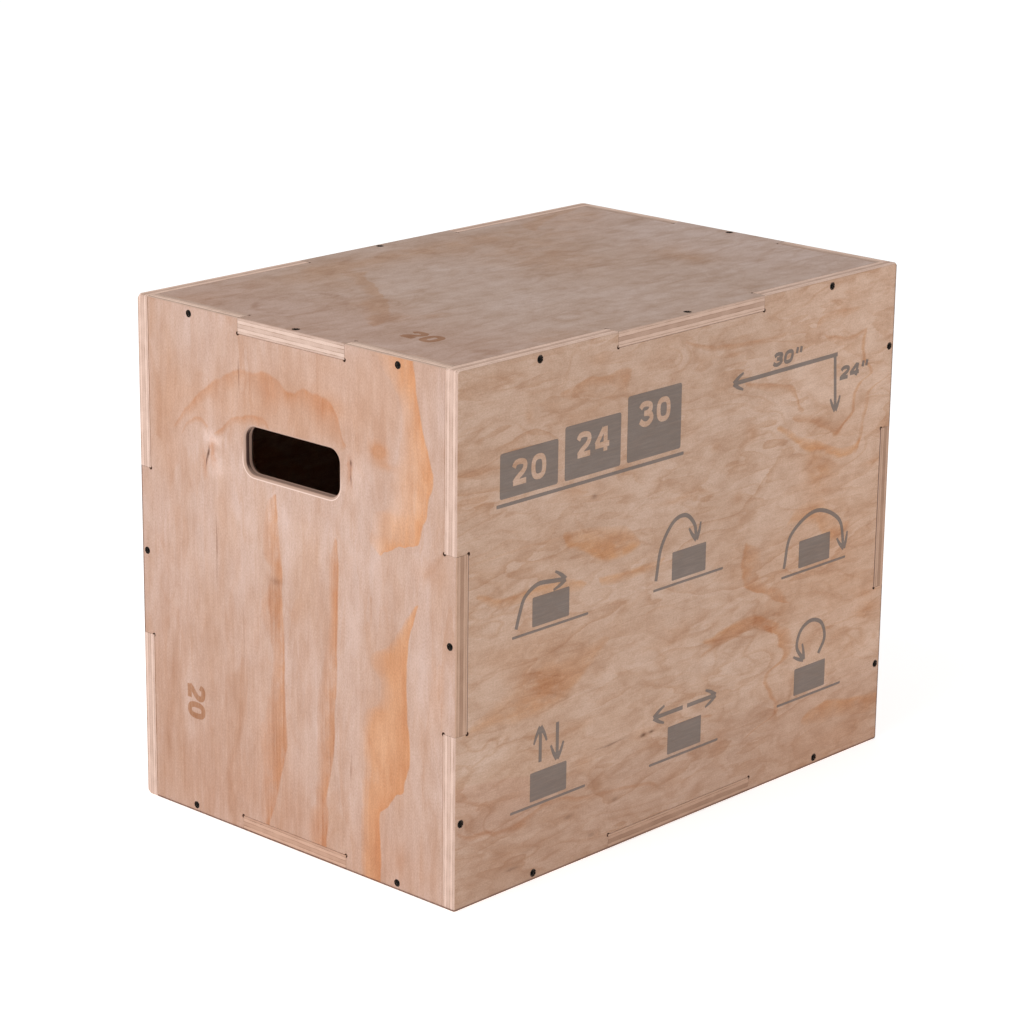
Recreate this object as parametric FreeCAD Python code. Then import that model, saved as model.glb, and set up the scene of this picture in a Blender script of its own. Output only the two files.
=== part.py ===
import FreeCAD, Part
import math
import os

# Plyo box: six finger-jointed plywood panels round a centre brace, held by sunk wood screws.
# Millimetres. The origin is on the floor under the middle of the box, X runs along the length,
# Y from the front to the back and Z up.

# Outside of the box
box_length = 762.0
box_width = 508.0
box_height = 609.6
panel_thickness = 18.0
edge_round = 2.0        # every outside edge
front_corner = 7.0      # sanded ball corners of the front panel
back_corner = 10.0      # sanded ball corners of the back panel

# Finger joints
long_finger = 254.0     # middle finger of the edges along X
short_finger = 169.4    # middle finger of the edges along Y
tall_finger = 203.2     # middle finger of the upright edges
finger_gap = 0.3        # side clearance of a finger in its notch
end_gap = 0.8           # room past the tip of an end panel's finger
lip_ease = 0.8          # eased lip of a notch at the outer face
cutter_radius = 2.4     # router bit that cuts the relief in a notch's inside corner
relief_overcut = 2.2    # how far the relief reaches past the notch

# Hand slot in each end panel
slot_length = 150.0
slot_height = 55.0
slot_corner = 15.0
slot_drop = 149.0       # from the top of the box down to the middle of the slot
slot_round = 4.5        # rounded-over lip of the slot, on the outer face
slot_grip_round = 9.5   # fuller round of its lip on the inner face, for the fingers

# Centre brace and its grooves
brace_thickness = 18.0
groove_depth = 4.0
groove_gap = 0.2        # clearance of the brace in its grooves

# Countersunk wood screws
screw_length = 50.0
screw_diameter = 4.2
tip_length = 7.0
head_diameter = 8.0
head_angle = 90.0       # degrees, both sides of the cone together
head_sink = 2.0         # top of the head under the panel's face
head_gap = 0.1          # radial clearance of the head in its pocket
shank_gap = 0.1         # radial clearance of the shank in the panel it clamps
pilot_gap = 0.05        # radial clearance in the panel it bites into
round_sides = 8         # flats that stand for a circle on screws, holes and reliefs

# Screw places, measured in from the outside of the box
long_row_inset = 127.0  # along the edges that run in X
short_row_inset = 88.0  # along the edges that run in Y
tall_row_inset = 101.6  # along the upright edges
lower_only = ("front", "left")      # upright edge that has only its lower screw

overshoot = 1.0         # how far a cutter stands clear of what it cuts
on_plane = 0.001        # how near an edge lies to a plane to count as in it

V = FreeCAD.Vector
X, Y, Z = V(1, 0, 0), V(0, 1, 0), V(0, 0, 1)
half_length = box_length / 2
half_width = box_width / 2
mid_height = box_height / 2
mid_panel = panel_thickness / 2
centre = V(0, 0, mid_height)


def block(low, high):
    """Box between two opposite corners."""
    size = high - low
    return Part.makeBox(size.x, size.y, size.z, low)


def edges_in_plane(shape, axis, value):
    """Edges of a shape that lie in the plane where one coordinate has the given value."""
    found = []
    for edge in shape.Edges:
        low = getattr(edge.BoundBox, axis + "Min")
        high = getattr(edge.BoundBox, axis + "Max")
        if abs(low - value) < on_plane and abs(high - value) < on_plane:
            found.append(edge)
    return found


def faceted(profile):
    """Solid about Z from a profile of (radius, height), top first, with flats for the round."""
    turns = [FreeCAD.Rotation(Z, 360 * (k + 0.5) / round_sides) for k in range(round_sides)]
    across = math.cos(math.pi / round_sides)
    rings = [[turn.multVec(V(r / across, 0, z)) for turn in turns] for r, z in profile]
    faces = [Part.Face(Part.makePolygon(rings[0] + rings[0][:1]))]
    if profile[-1][0] > 0:
        faces.append(Part.Face(Part.makePolygon(rings[-1] + rings[-1][:1])))
    for upper, lower in zip(rings, rings[1:]):
        for k in range(round_sides):
            corners = [upper[k - 1], upper[k], lower[k], lower[k - 1]]
            if (lower[k] - lower[k - 1]).Length < on_plane:
                corners.pop()
            faces.append(Part.Face(Part.makePolygon(corners + corners[:1])))
    return Part.makeSolid(Part.makeShell(faces))


def placed(shape, point, outward):
    """Copy of an upright shape, set at a point of a panel's face and turned to look outward."""
    copy = shape.copy()
    copy.Placement = FreeCAD.Placement(point, FreeCAD.Rotation(Z, outward))
    return copy


def notch(edge, inward, through, run, relieve_start=True, relieve_stop=True, spare=0):
    """Cutter for one finger notch.

    It starts at a point of the box's edge and follows run along it, one panel thickness and any
    spare room deep inward and right through the panel, with an eased lip at the outer face and a
    round relief in each inside corner.
    """
    seat = panel_thickness + spare
    lip = seat + lip_ease + overshoot
    below = panel_thickness + overshoot
    section = [
        (-overshoot, -overshoot),
        (lip, -overshoot),
        (seat, lip_ease),
        (seat, below),
        (-overshoot, below),
        (-overshoot, -overshoot),
    ]
    outline = Part.makePolygon([edge + inward * s + through * d for s, d in section])
    cutter = Part.Face(outline).extrude(run)
    step_in = cutter_radius - relief_overcut
    along = V(run).normalize()
    floor = edge + inward * (seat - step_in)
    corners = []
    if relieve_start:
        corners.append(floor + along * step_in)
    if relieve_stop:
        corners.append(floor + run - along * step_in)
    relief = faceted([(cutter_radius, overshoot), (cutter_radius, -below)])
    return cutter.fuse([placed(relief, corner, -through) for corner in corners])


def middle_notch(middle, inward, through, along, finger, spare=0):
    """Notch that takes the middle finger of a neighbour, centred on a point of the edge."""
    length = finger + 2 * finger_gap
    return notch(middle - along * (length / 2), inward, through, along * length, spare=spare)


def corner_notches(middle, inward, through, along, finger, edge_length):
    """Two notches that leave one finger standing in the middle of an edge."""
    reach = edge_length / 2 - finger / 2 + overshoot
    after = notch(middle + along * (finger / 2), inward, through, along * reach,
                  relieve_stop=False)
    before = notch(middle - along * (finger / 2), inward, through, along * -reach,
                   relieve_stop=False)
    return [after, before]


def brace_block(gap):
    """Room of the centre brace, larger by a gap all round but standing on the same floor."""
    inside = half_width - panel_thickness + groove_depth
    low = V(-brace_thickness / 2 - gap, -inside - gap, panel_thickness - groove_depth)
    high = V(brace_thickness / 2 + gap, inside + gap, box_height - low.z + gap)
    return block(low, high)


def ball_corner(corner, inward, radius):
    """Cutter that sands a corner of the box to a ball.

    It is a cube at the corner less a sphere that touches the three edges one radius away from it.
    """
    middle = corner + inward * radius
    outside = corner - inward * overshoot
    low = V(min(middle.x, outside.x), min(middle.y, outside.y), min(middle.z, outside.z))
    high = V(max(middle.x, outside.x), max(middle.y, outside.y), max(middle.z, outside.z))
    ball = Part.makeSphere(radius * math.sqrt(2))
    seam = math.degrees(math.atan2(inward.y, inward.x))
    ball.Placement = FreeCAD.Placement(middle, FreeCAD.Rotation(Z, seam))
    return block(low, high).cut(ball)


def long_panel(corner_radius):
    """Front panel: keeps its four corners, sanded round, and has a notch in the middle of each edge."""
    low = V(-half_length, -half_width, 0)
    high = V(half_length, panel_thickness - half_width, box_height)
    blank = block(low, high)
    outside = [edge for edge in blank.Edges if abs(edge.tangentAt(0).y) > 1 - on_plane]
    outside += edges_in_plane(blank, "Y", -half_width)
    blank = blank.makeFillet(edge_round, outside)
    cutters = [brace_block(groove_gap)]
    for end in (X, -X):
        for height, up in ((0, Z), (box_height, -Z)):
            corner = V(0, -half_width, height) - end * half_length
            cutters.append(ball_corner(corner, end + Y + up, corner_radius))
    for height, inward in ((0, Z), (box_height, -Z)):
        cutters.append(middle_notch(V(0, -half_width, height), inward, Y, X, long_finger))
    for inward in (X, -X):
        middle = V(0, -half_width, mid_height) - inward * half_length
        cutters.append(middle_notch(middle, inward, Y, Z, tall_finger, end_gap))
    return blank.cut(cutters)


def end_panel():
    """Left end panel: a finger at each upright edge, a notch at top and bottom, and the hand slot."""
    low = V(-half_length, -half_width, 0)
    high = V(panel_thickness - half_length, half_width, box_height)
    blank = block(low, high)
    blank = blank.makeFillet(edge_round, edges_in_plane(blank, "X", -half_length))
    cutters = []
    for height, inward in ((0, Z), (box_height, -Z)):
        cutters.append(middle_notch(V(-half_length, 0, height), inward, X, Y, short_finger))
    for inward in (Y, -Y):
        middle = V(-half_length, 0, mid_height) - inward * half_width
        cutters += corner_notches(middle, inward, X, Z, tall_finger, box_height)
    return with_hand_slot(blank.cut(cutters))


def with_hand_slot(panel):
    """Cuts the hand slot through the left end panel and rounds its lips over, the inner one more."""
    middle = box_height - slot_drop
    low = V(-half_length - overshoot, -slot_length / 2, middle - slot_height / 2)
    high = V(panel_thickness - half_length + overshoot, slot_length / 2, middle + slot_height / 2)
    slot = block(low, high)
    corners = [edge for edge in slot.Edges if abs(edge.tangentAt(0).x) > 1 - on_plane]
    panel = panel.cut(slot.makeFillet(slot_corner, corners))
    panel = panel.makeFillet(slot_round, slot_lip(panel, -half_length))
    return panel.makeFillet(slot_grip_round, slot_lip(panel, panel_thickness - half_length))


def slot_lip(panel, face):
    """Edges of the hand slot in one face of the left end panel, given by its place on X."""
    middle = box_height - slot_drop
    lip = []
    for edge in edges_in_plane(panel, "X", face):
        room = edge.BoundBox
        inside_y = max(abs(room.YMin), abs(room.YMax)) < slot_length / 2 + on_plane
        inside_z = max(abs(room.ZMin - middle), abs(room.ZMax - middle)) < slot_height / 2 + on_plane
        if inside_y and inside_z:
            lip.append(edge)
    return lip


def level_panel():
    """Top panel: one finger stands out in the middle of each edge."""
    low = V(-half_length, -half_width, box_height - panel_thickness)
    high = V(half_length, half_width, box_height)
    blank = block(low, high)
    blank = blank.makeFillet(edge_round, edges_in_plane(blank, "Z", box_height))
    cutters = [brace_block(groove_gap)]
    for inward in (Y, -Y):
        middle = V(0, 0, box_height) - inward * half_width
        cutters += corner_notches(middle, inward, -Z, X, long_finger, box_length)
    for inward in (X, -X):
        middle = V(0, 0, box_height) - inward * half_length
        cutters += corner_notches(middle, inward, -Z, Y, short_finger, box_width)
    return blank.cut(cutters)


def turned(shape, axis):
    """Copy of a shape, turned half round about an axis through the middle of the box."""
    copy = shape.copy()
    copy.rotate(centre, axis, 180)
    return copy


# Heights along a screw, from the panel's face at zero
cone_slope = math.tan(math.radians(head_angle / 2))
head_radius = head_diameter / 2
screw_radius = screw_diameter / 2
head_top = -head_sink
cone_bottom = head_top - (head_radius - screw_radius) / cone_slope
tip_bottom = head_top - screw_length


def wood_screw():
    """Countersunk screw with a pointed tip, upright under a panel face at Z zero."""
    return faceted([
        (head_radius, head_top),
        (screw_radius, cone_bottom),
        (screw_radius, tip_bottom + tip_length),
        (0, tip_bottom),
    ])


def screw_hole():
    """Cutter for a screw: head pocket, cone seat, clearance bore and pilot hole in the next panel."""
    pocket = head_radius + head_gap
    bore = screw_radius + shank_gap
    pilot = screw_radius + pilot_gap
    return faceted([
        (pocket, overshoot),
        (pocket, head_top + head_gap / cone_slope),
        (bore, cone_bottom + shank_gap / cone_slope),
        (bore, -panel_thickness),
        (pilot, -panel_thickness),
        (pilot, tip_bottom),
    ])


def screw_rows():
    """Screws of every outside edge: face, edge, panel they bite into, outward direction, points."""
    along_x = half_length - long_row_inset
    along_y = half_width - short_row_inset
    along_z = mid_height - tall_row_inset
    rim_x = half_length - mid_panel
    rim_y = half_width - mid_panel
    rim_z = mid_height - mid_panel
    sides = (("front", -1), ("back", 1))
    ends = (("left", -1), ("right", 1))
    levels = (("bottom", -1), ("top", 1))
    rows = []
    for side, sy in sides:
        face = V(0, sy * half_width, mid_height)
        for level, sz in levels:
            points = [face + V(x, 0, sz * rim_z) for x in (-along_x, along_x)]
            rows.append((side, level, level + "_panel", Y * sy, points))
        for end, sx in ends:
            heights = [-along_z] if (side, end) == lower_only else [-along_z, along_z]
            points = [face + V(sx * rim_x, 0, z) for z in heights]
            rows.append((side, end, end + "_end_panel", Y * sy, points))
    for end, sx in ends:
        face = V(sx * half_length, 0, mid_height)
        for level, sz in levels:
            points = [face + V(0, y, sz * rim_z) for y in (-along_y, along_y)]
            rows.append((end, level, level + "_panel", X * sx, points))
        for side, sy in sides:
            rows.append((end, side, side + "_panel", X * sx, [face + V(0, sy * rim_y, 0)]))
    for level, sz in levels:
        face = V(0, 0, mid_height + sz * mid_height)
        for side, sy in sides:
            rows.append((level, side, side + "_panel", Z * sz, [face + V(0, sy * rim_y, 0)]))
        for end, sx in ends:
            rows.append((level, end, end + "_end_panel", Z * sz, [face + V(sx * rim_x, 0, 0)]))
    return rows


# Panels and brace
front, back = long_panel(front_corner), turned(long_panel(back_corner), Z)
left, top = end_panel(), level_panel()
pieces = {
    "front_panel": front,
    "back_panel": back,
    "left_end_panel": left,
    "right_end_panel": turned(left, Z),
    "top_panel": top,
    "bottom_panel": turned(top, X),
    "centre_brace": brace_block(0),
}

# Screws, and their holes in the two panels that each one joins
screw, hole = wood_screw(), screw_hole()
holes = {}
for face, edge, bitten, outward, points in screw_rows():
    name = face + "_" + edge + ("_screws" if len(points) > 1 else "_screw")
    pieces[name] = Part.makeCompound([placed(screw, point, outward) for point in points])
    clamped = face + ("_end_panel" if face in ("left", "right") else "_panel")
    for panel in (clamped, bitten):
        holes.setdefault(panel, [])
        holes[panel] += [placed(hole, point, outward) for point in points]
for panel, cutters in holes.items():
    pieces[panel] = pieces[panel].cut(cutters)

os.makedirs("parts", exist_ok=True)
for name, shape in pieces.items():
    solids = shape.Solids
    whole = solids[0] if len(solids) == 1 else Part.makeCompound(solids)
    whole.exportStep("parts/" + name + ".step")
    print(name, len(solids), "solid", round(whole.Volume / 1000, 2), "cm3", whole.isValid())
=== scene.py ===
import bpy
import math
import numpy as np
from mathutils import Matrix, Vector


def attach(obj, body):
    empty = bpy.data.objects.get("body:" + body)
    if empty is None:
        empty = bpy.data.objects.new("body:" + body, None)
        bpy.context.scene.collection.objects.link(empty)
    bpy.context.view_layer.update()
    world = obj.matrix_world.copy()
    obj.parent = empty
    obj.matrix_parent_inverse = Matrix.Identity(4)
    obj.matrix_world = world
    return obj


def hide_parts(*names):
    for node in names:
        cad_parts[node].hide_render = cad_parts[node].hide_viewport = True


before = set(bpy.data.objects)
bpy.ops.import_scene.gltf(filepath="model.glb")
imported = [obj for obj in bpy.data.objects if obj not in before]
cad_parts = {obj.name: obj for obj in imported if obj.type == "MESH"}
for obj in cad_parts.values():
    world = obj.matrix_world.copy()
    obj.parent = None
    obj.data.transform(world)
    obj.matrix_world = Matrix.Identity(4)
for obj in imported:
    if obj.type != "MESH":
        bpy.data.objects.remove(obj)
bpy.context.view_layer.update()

# Sizes in millimetres, as in the part's source
LENGTH = 762.0
WIDTH = 508.0
HEIGHT = 609.6
PANEL = 18.0
SLOT_LENGTH = 150.0
SLOT_HEIGHT = 55.0
SLOT_CORNER = 15.0
SLOT_DROP = 149.0
SLOT_ROUND = 4.5
LONG_ROW_INSET = 127.0
SHORT_ROW_INSET = 88.0
TALL_ROW_INSET = 101.6
HEAD_RADIUS = 4.0
HEAD_TOP = -2.0
SHANK_RADIUS = 2.1
SCREW_LENGTH = 50.0
TIP_LENGTH = 7.0
MM = 0.001
GOLDEN_TURN = 2.39996
X_AXIS, Y_AXIS, Z_AXIS = 0, 1, 2


# Camera, floor and light

CAMERA_AT = (-2.7675, -2.5460, 1.4470)
CAMERA_AZIMUTH = math.radians(-47.20)
CAMERA_ELEVATION = math.radians(16.68)
CAMERA_ROLL = math.radians(-0.69)
FOCAL_PIXELS = 3281.0
PICTURE_PIXELS = 1028.0
SENSOR = 36.0


def set_camera():
    """Camera at the photograph's place: looks along the azimuth and elevation, then rolls a little."""
    flat = math.cos(CAMERA_ELEVATION)
    back = Vector((math.sin(CAMERA_AZIMUTH) * flat, -math.cos(CAMERA_AZIMUTH) * flat,
                   math.sin(CAMERA_ELEVATION)))
    level_right = (-back).cross(Vector((0, 0, 1))).normalized()
    level_down = (-back).cross(level_right)
    turn, lean = math.cos(CAMERA_ROLL), math.sin(CAMERA_ROLL)
    right = level_right * turn + level_down * lean
    up = level_right * lean - level_down * turn
    data = bpy.data.cameras.new("view")
    data.sensor_width = SENSOR
    data.lens = SENSOR * FOCAL_PIXELS / PICTURE_PIXELS
    data.clip_start = 0.05
    data.clip_end = 100.0
    camera = bpy.data.objects.new("view", data)
    camera.matrix_world = Matrix.Translation(CAMERA_AT) @ Matrix((right, up, back)).transposed().to_4x4()
    bpy.context.scene.collection.objects.link(camera)
    bpy.context.scene.camera = camera


def soft_box(name, place, aim, width, height, power, colour=(1.0, 1.0, 1.0)):
    """Large studio light at a place, turned towards its aim."""
    data = bpy.data.lights.new(name, "AREA")
    data.shape = "RECTANGLE"
    data.size = width
    data.size_y = height
    data.energy = power
    data.color = colour
    lamp = bpy.data.objects.new(name, data)
    lamp.location = place
    lamp.rotation_euler = (Vector(aim) - Vector(place)).to_track_quat("-Z", "Y").to_euler()
    bpy.context.scene.collection.objects.link(lamp)


# Shader fields: numbers that vary over a surface, so that a finish reads as a formula


class Field:
    """One varying number of a material. Sums, products and the methods below add shader nodes."""

    def __init__(self, tree, socket):
        self.tree = tree
        self.socket = socket

    def math(self, operation, *others):
        node = self.tree.nodes.new("ShaderNodeMath")
        node.operation = operation
        for slot, value in zip(node.inputs, (self, *others)):
            join(slot, value)
        return Field(self.tree, node.outputs[0])

    def __add__(self, other):
        return self.math("ADD", other)

    def __sub__(self, other):
        return self.math("SUBTRACT", other)

    def __mul__(self, other):
        return self.math("MULTIPLY", other)

    def __truediv__(self, other):
        return self.math("DIVIDE", other)

    __radd__ = __add__
    __rmul__ = __mul__

    def __rsub__(self, other):
        return self.math("MULTIPLY_ADD", -1.0, other)

    def __neg__(self):
        return self * -1.0

    def absolute(self):
        return self.math("ABSOLUTE")

    def power(self, exponent):
        return self.math("POWER", exponent)

    def step(self, start, stop):
        """Rises smoothly from 0 at start to 1 at stop, or falls where stop is the smaller."""
        node = self.tree.nodes.new("ShaderNodeMapRange")
        node.interpolation_type = "SMOOTHSTEP"
        join(node.inputs["Value"], self)
        low, high = min(start, stop), max(start, stop)
        node.inputs["From Min"].default_value = low
        node.inputs["From Max"].default_value = high
        node.inputs["To Min"].default_value = 0.0 if start < stop else 1.0
        node.inputs["To Max"].default_value = 1.0 if start < stop else 0.0
        return Field(self.tree, node.outputs["Result"])

    def named(self, name):
        """Names the node that makes this field, so that copies of its material can find it."""
        self.socket.node.name = name
        return self

    def clamped(self):
        """The sum or product that this field is, kept within 0 and 1."""
        self.socket.node.use_clamp = True
        return self

    def drawn(self, points):
        """Smooth curve through drawn points, both ways from 0 to 1."""
        node = self.tree.nodes.new("ShaderNodeFloatCurve")
        curve = node.mapping.curves[0]
        curve.points[0].location = points[0]
        curve.points[1].location = points[-1]
        for spot in points[1:-1]:
            curve.points.new(*spot)
        for point in curve.points:
            point.handle_type = "AUTO_CLAMPED"
        node.mapping.extend = "HORIZONTAL"
        node.mapping.update()
        join(node.inputs["Value"], self)
        return Field(self.tree, node.outputs[0])


def join(slot, value):
    """Feeds a socket from a field, or sets it to a plain value."""
    if isinstance(value, Field):
        value.tree.links.new(value.socket, slot)
    else:
        slot.default_value = value


def noise(a, b, c, detail=2.0, rough=0.5, twist=0.0):
    """Smooth noise about 0, within about half either way, at the point (a, b, c)."""
    tree = a.tree
    point = tree.nodes.new("ShaderNodeCombineXYZ")
    for slot, value in zip(point.inputs, (a, b, c)):
        join(slot, value)
    node = tree.nodes.new("ShaderNodeTexNoise")
    node.inputs["Scale"].default_value = 1.0
    node.inputs["Detail"].default_value = detail
    node.inputs["Roughness"].default_value = rough
    node.inputs["Distortion"].default_value = twist
    tree.links.new(point.outputs[0], node.inputs["Vector"])
    return Field(tree, node.outputs["Fac"]) - 0.5


def tinted(colour, tint, amount):
    """Colour multiplied by a tint, by an amount from 0 to 1."""
    tree = amount.tree
    node = tree.nodes.new("ShaderNodeMix")
    node.data_type = "RGBA"
    node.blend_type = "MULTIPLY"
    node.clamp_factor = True
    join(node.inputs[0], amount)
    join(node.inputs[6], colour if isinstance(colour, Field) else (*colour, 1.0))
    node.inputs[7].default_value = (*tint, 1.0)
    return Field(tree, node.outputs[2])


def layered(colour, tints, amounts):
    """Colour multiplied by each named tint in turn, by that tint's own amount."""
    for name, amount in amounts.items():
        colour = tinted(colour, tints[name], amount)
    return colour


def blended(first, second, share):
    """First colour where share is 0, second where it is 1."""
    tree = share.tree
    node = tree.nodes.new("ShaderNodeMix")
    node.data_type = "RGBA"
    node.clamp_factor = True
    join(node.inputs[0], share)
    for slot, colour in ((node.inputs[6], first), (node.inputs[7], second)):
        join(slot, colour if isinstance(colour, Field) else (*colour, 1.0))
    return Field(tree, node.outputs[2])


def new_finish(name):
    """Empty material and its shader, ready for fields."""
    material = bpy.data.materials.new(name)
    material.use_nodes = True
    tree = material.node_tree
    return material, tree, tree.nodes["Principled BSDF"]


def place_on(tree):
    """The three Object coordinates of a surface point in millimetres. The node named turn can turn them."""
    where = tree.nodes.new("ShaderNodeTexCoord")
    turn = tree.nodes.new("ShaderNodeVectorMath")
    turn.name = "turn"
    turn.operation = "MULTIPLY_ADD"
    turn.inputs[1].default_value = (1 / MM, 1 / MM, 1 / MM)
    split = tree.nodes.new("ShaderNodeSeparateXYZ")
    tree.links.new(where.outputs["Object"], turn.inputs[0])
    tree.links.new(turn.outputs[0], split.inputs[0])
    return [Field(tree, out) for out in split.outputs]


def facing_on(tree):
    """How squarely the surface faces along X, Y and Z, from 0 to 1."""
    where = tree.nodes.new("ShaderNodeTexCoord")
    split = tree.nodes.new("ShaderNodeSeparateXYZ")
    tree.links.new(where.outputs["Normal"], split.inputs[0])
    return [Field(tree, out).absolute() for out in split.outputs]


def roughen(tree, shader, height, depth):
    """Bump of a given depth in metres from a height field of 0 to 1."""
    bump = tree.nodes.new("ShaderNodeBump")
    bump.inputs["Distance"].default_value = depth
    join(bump.inputs["Height"], height)
    tree.links.new(bump.outputs[0], shader.inputs["Normal"])


# Veneer figure: drawn growth lines, knots and patches

WIDEST = 120.0


def growth_rings(height, sharp):
    """Late wood of rotary-cut rings: darkens with a power across each ring, then stops short."""
    share = height.math("FRACT")
    return share.power(sharp) * share.step(1.0, 0.93)


def mounds(along, across, spots):
    """Sum of smooth hills, each of a middle, a size and a height.

    A hill is its height over e to the squared distance from its middle, counted in its own size.
    """
    tree = along.tree
    point = tree.nodes.new("ShaderNodeCombineXYZ")
    join(point.inputs[0], along)
    join(point.inputs[1], across)
    total = 0.0
    for (u, v), (wide, deep), height in spots:
        off = tree.nodes.new("ShaderNodeVectorMath")
        off.operation = "MULTIPLY_ADD"
        tree.links.new(point.outputs[0], off.inputs[0])
        off.inputs[1].default_value = (1 / wide, 1 / deep, 0)
        off.inputs[2].default_value = (-u / wide, -v / deep, 0)
        squared = tree.nodes.new("ShaderNodeVectorMath")
        squared.operation = "DOT_PRODUCT"
        tree.links.new(off.outputs[0], squared.inputs[0])
        tree.links.new(off.outputs[0], squared.inputs[1])
        hill = (-Field(tree, squared.outputs["Value"])).math("EXPONENT")
        total = hill.math("MULTIPLY_ADD", height, total)
    return total


def flame(along, across, span, reach, side, blur, points):
    """Patch with a crisp drawn edge, that fades to one side over its drawn width: its fade and outline.

    Each point holds the place along, the edge across it and the width; no width means no patch, so one
    line of points can hold several patches, one after another.
    """
    share = along / span
    edge = share.drawn([(spot[0] / span, spot[1] / reach) for spot in points])
    width = share.drawn([(spot[0] / span, spot[2] / WIDEST) for spot in points])
    inside = edge.math("MULTIPLY_ADD", -side * reach, across if side > 0 else -across)
    fade = (1.0 - inside / width.math("MULTIPLY_ADD", WIDEST, 0.3)).clamped()
    return fade, inside.step(-blur, blur) * width.step(0.4 / WIDEST, 4.0 / WIDEST)


def widened(points, ratio):
    """The same drawn points with their widths multiplied."""
    return [(place, edge, width * ratio) for place, edge, width in points]


def worn_off(drawn_patch, power):
    """A patch's strength: its fade to a power, inside its outline."""
    fade, outline = drawn_patch
    return fade.power(power) * outline


# Left end: places are (height, distance from the front edge, width)
LEFT_LOW_PATCH = (
    (0, 114, 32), (25, 112, 34), (50, 113, 33), (70, 115, 29), (85, 114, 29), (91, 107, 36),
    (97, 101, 42), (105, 97, 46), (113, 90, 52), (119, 79, 62), (131, 77, 62), (141, 72, 68),
    (162, 68, 73), (188, 70, 70), (203, 72, 62), (215, 72, 46), (235, 73, 42), (262, 73, 58),
    (278, 72, 38), (300, 70, 18), (318, 64, 12), (334, 58, 6), (342, 55, 0))
LEFT_HIGH_PATCH = (
    (383, 114, 0), (388, 108, 14), (392, 97, 30), (397, 91, 40), (402, 79, 52), (405, 66, 66),
    (409, 56, 72), (425, 52, 74), (432, 50, 72), (438, 46, 60), (450, 44, 56), (462, 42, 58),
    (475, 37, 62), (487, 36, 58), (500, 39, 48), (512, 43, 42), (537, 51, 30), (555, 55, 28),
    (575, 60, 36), (590, 62, 48), (609, 66, 58))
LEFT_STREAK = (
    (0, 200, 18), (25, 201, 22), (50, 197, 25), (62, 197, 20), (75, 201, 14), (100, 196, 15),
    (125, 190, 19), (150, 187, 22), (175, 186, 22), (200, 185, 21), (225, 182, 20), (250, 182, 15),
    (300, 180, 11), (325, 181, 11), (350, 179, 12), (375, 182, 6), (392, 184, 0))
LEFT_BAND = (
    (20, 295, 8), (50, 284, 17), (75, 277, 20), (100, 270, 25), (112, 267, 30), (125, 264, 33),
    (150, 264, 27), (175, 266, 21), (200, 268, 15), (225, 268, 13), (250, 268, 18), (275, 270, 26),
    (300, 271, 19), (325, 270, 14), (345, 272, 20), (400, 276, 14), (420, 278, 0))
LEFT_SMEAR = (
    (0, 476, 18), (50, 470, 15), (100, 460, 12), (150, 452, 12), (200, 446, 9), (240, 444, 4),
    (262, 444, 0), (368, 50, 0), (378, 40, 9), (386, 32, 11), (396, 24, 11), (404, 19, 8), (414, 17, 0),
    (440, 470, 0), (450, 470, 14), (480, 468, 18), (510, 472, 16), (540, 482, 9), (560, 490, 0))
LEFT_COLUMN = (
    (10, 352, 6), (30, 352, 14), (60, 358, 10), (100, 346, 16), (140, 336, 34), (170, 334, 36),
    (195, 335, 14), (215, 336, 0))
LEFT_ARCH = (
    (166, 496, 0), (171, 503, 8), (175, 515, 15), (179, 525, 22), (187, 535, 29), (195, 542, 31),
    (208, 545, 28), (220, 546, 21), (233, 548, 17), (241, 546, 14), (250, 540, 13), (258, 540, 13),
    (270, 547, 18), (281, 551, 24), (291, 556, 26), (300, 555, 21), (312, 552, 14), (337, 550, 13),
    (350, 546, 13), (362, 540, 14), (375, 533, 15), (391, 520, 9), (412, 503, 9), (425, 492, 7),
    (441, 473, 4), (450, 463, 0))
LEFT_INNER_ARCH = (
    (284, 485, 0), (289, 492, 7), (295, 500, 9), (308, 503, 10), (320, 502, 11), (333, 498, 11),
    (341, 497, 10), (350, 492, 9), (362, 483, 10), (370, 476, 8), (376, 471, 4), (382, 466, 0),
    (386, 475, 0), (391, 478, 5), (404, 482, 6), (416, 480, 6), (425, 475, 5), (431, 465, 4),
    (437, 456, 0))

# Hills of tint, each of a middle, a size and a height, in the same places
LEFT_PATCH_HEART = (((168, 122), (38, 16), 0.5), ((60, 128), (60, 12), 0.3))
LEFT_GLOW = (
    ((520, 260), (50, 110), 0.9), ((560, 110), (60, 50), 0.7), ((475, 465), (70, 40), 0.9),
    ((512, 350), (28, 40), 0.7), ((500, 415), (24, 26), 0.8), ((580, 200), (24, 60), 0.6),
    ((110, 120), (150, 46), 0.35), ((530, 205), (24, 40), 1.0), ((110, 280), (90, 40), 0.3))
# Darker brown hills, mostly low on the end: partly brown figure, partly painted shade where the light falls
# off towards the bottom
LEFT_LOW_SHADE_AND_BROWN = (
    ((50, 385), (75, 90), 0.9), ((45, 250), (45, 50), 0.5), ((140, 475), (110, 30), 0.5),
    ((30, 60), (40, 60), 0.4), ((40, 125), (45, 25), 0.7), ((310, 455), (90, 40), 0.35),
    ((230, 230), (80, 26), 0.3), ((210, 350), (150, 120), 0.3))
LEFT_SPOTS = (
    ((500, 116), (9, 12), 1.7), ((534, 196), (13, 26), 0.7), ((315, 185), (52, 7), 0.7),
    ((380, 40), (14, 22), 0.35), ((486, 106), (5, 16), 0.6), ((245, 28), (40, 12), 0.5),
    ((30, 210), (26, 12), 0.5), ((35, 84), (22, 8), 0.4), ((535, 285), (18, 14), 0.4))
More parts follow.
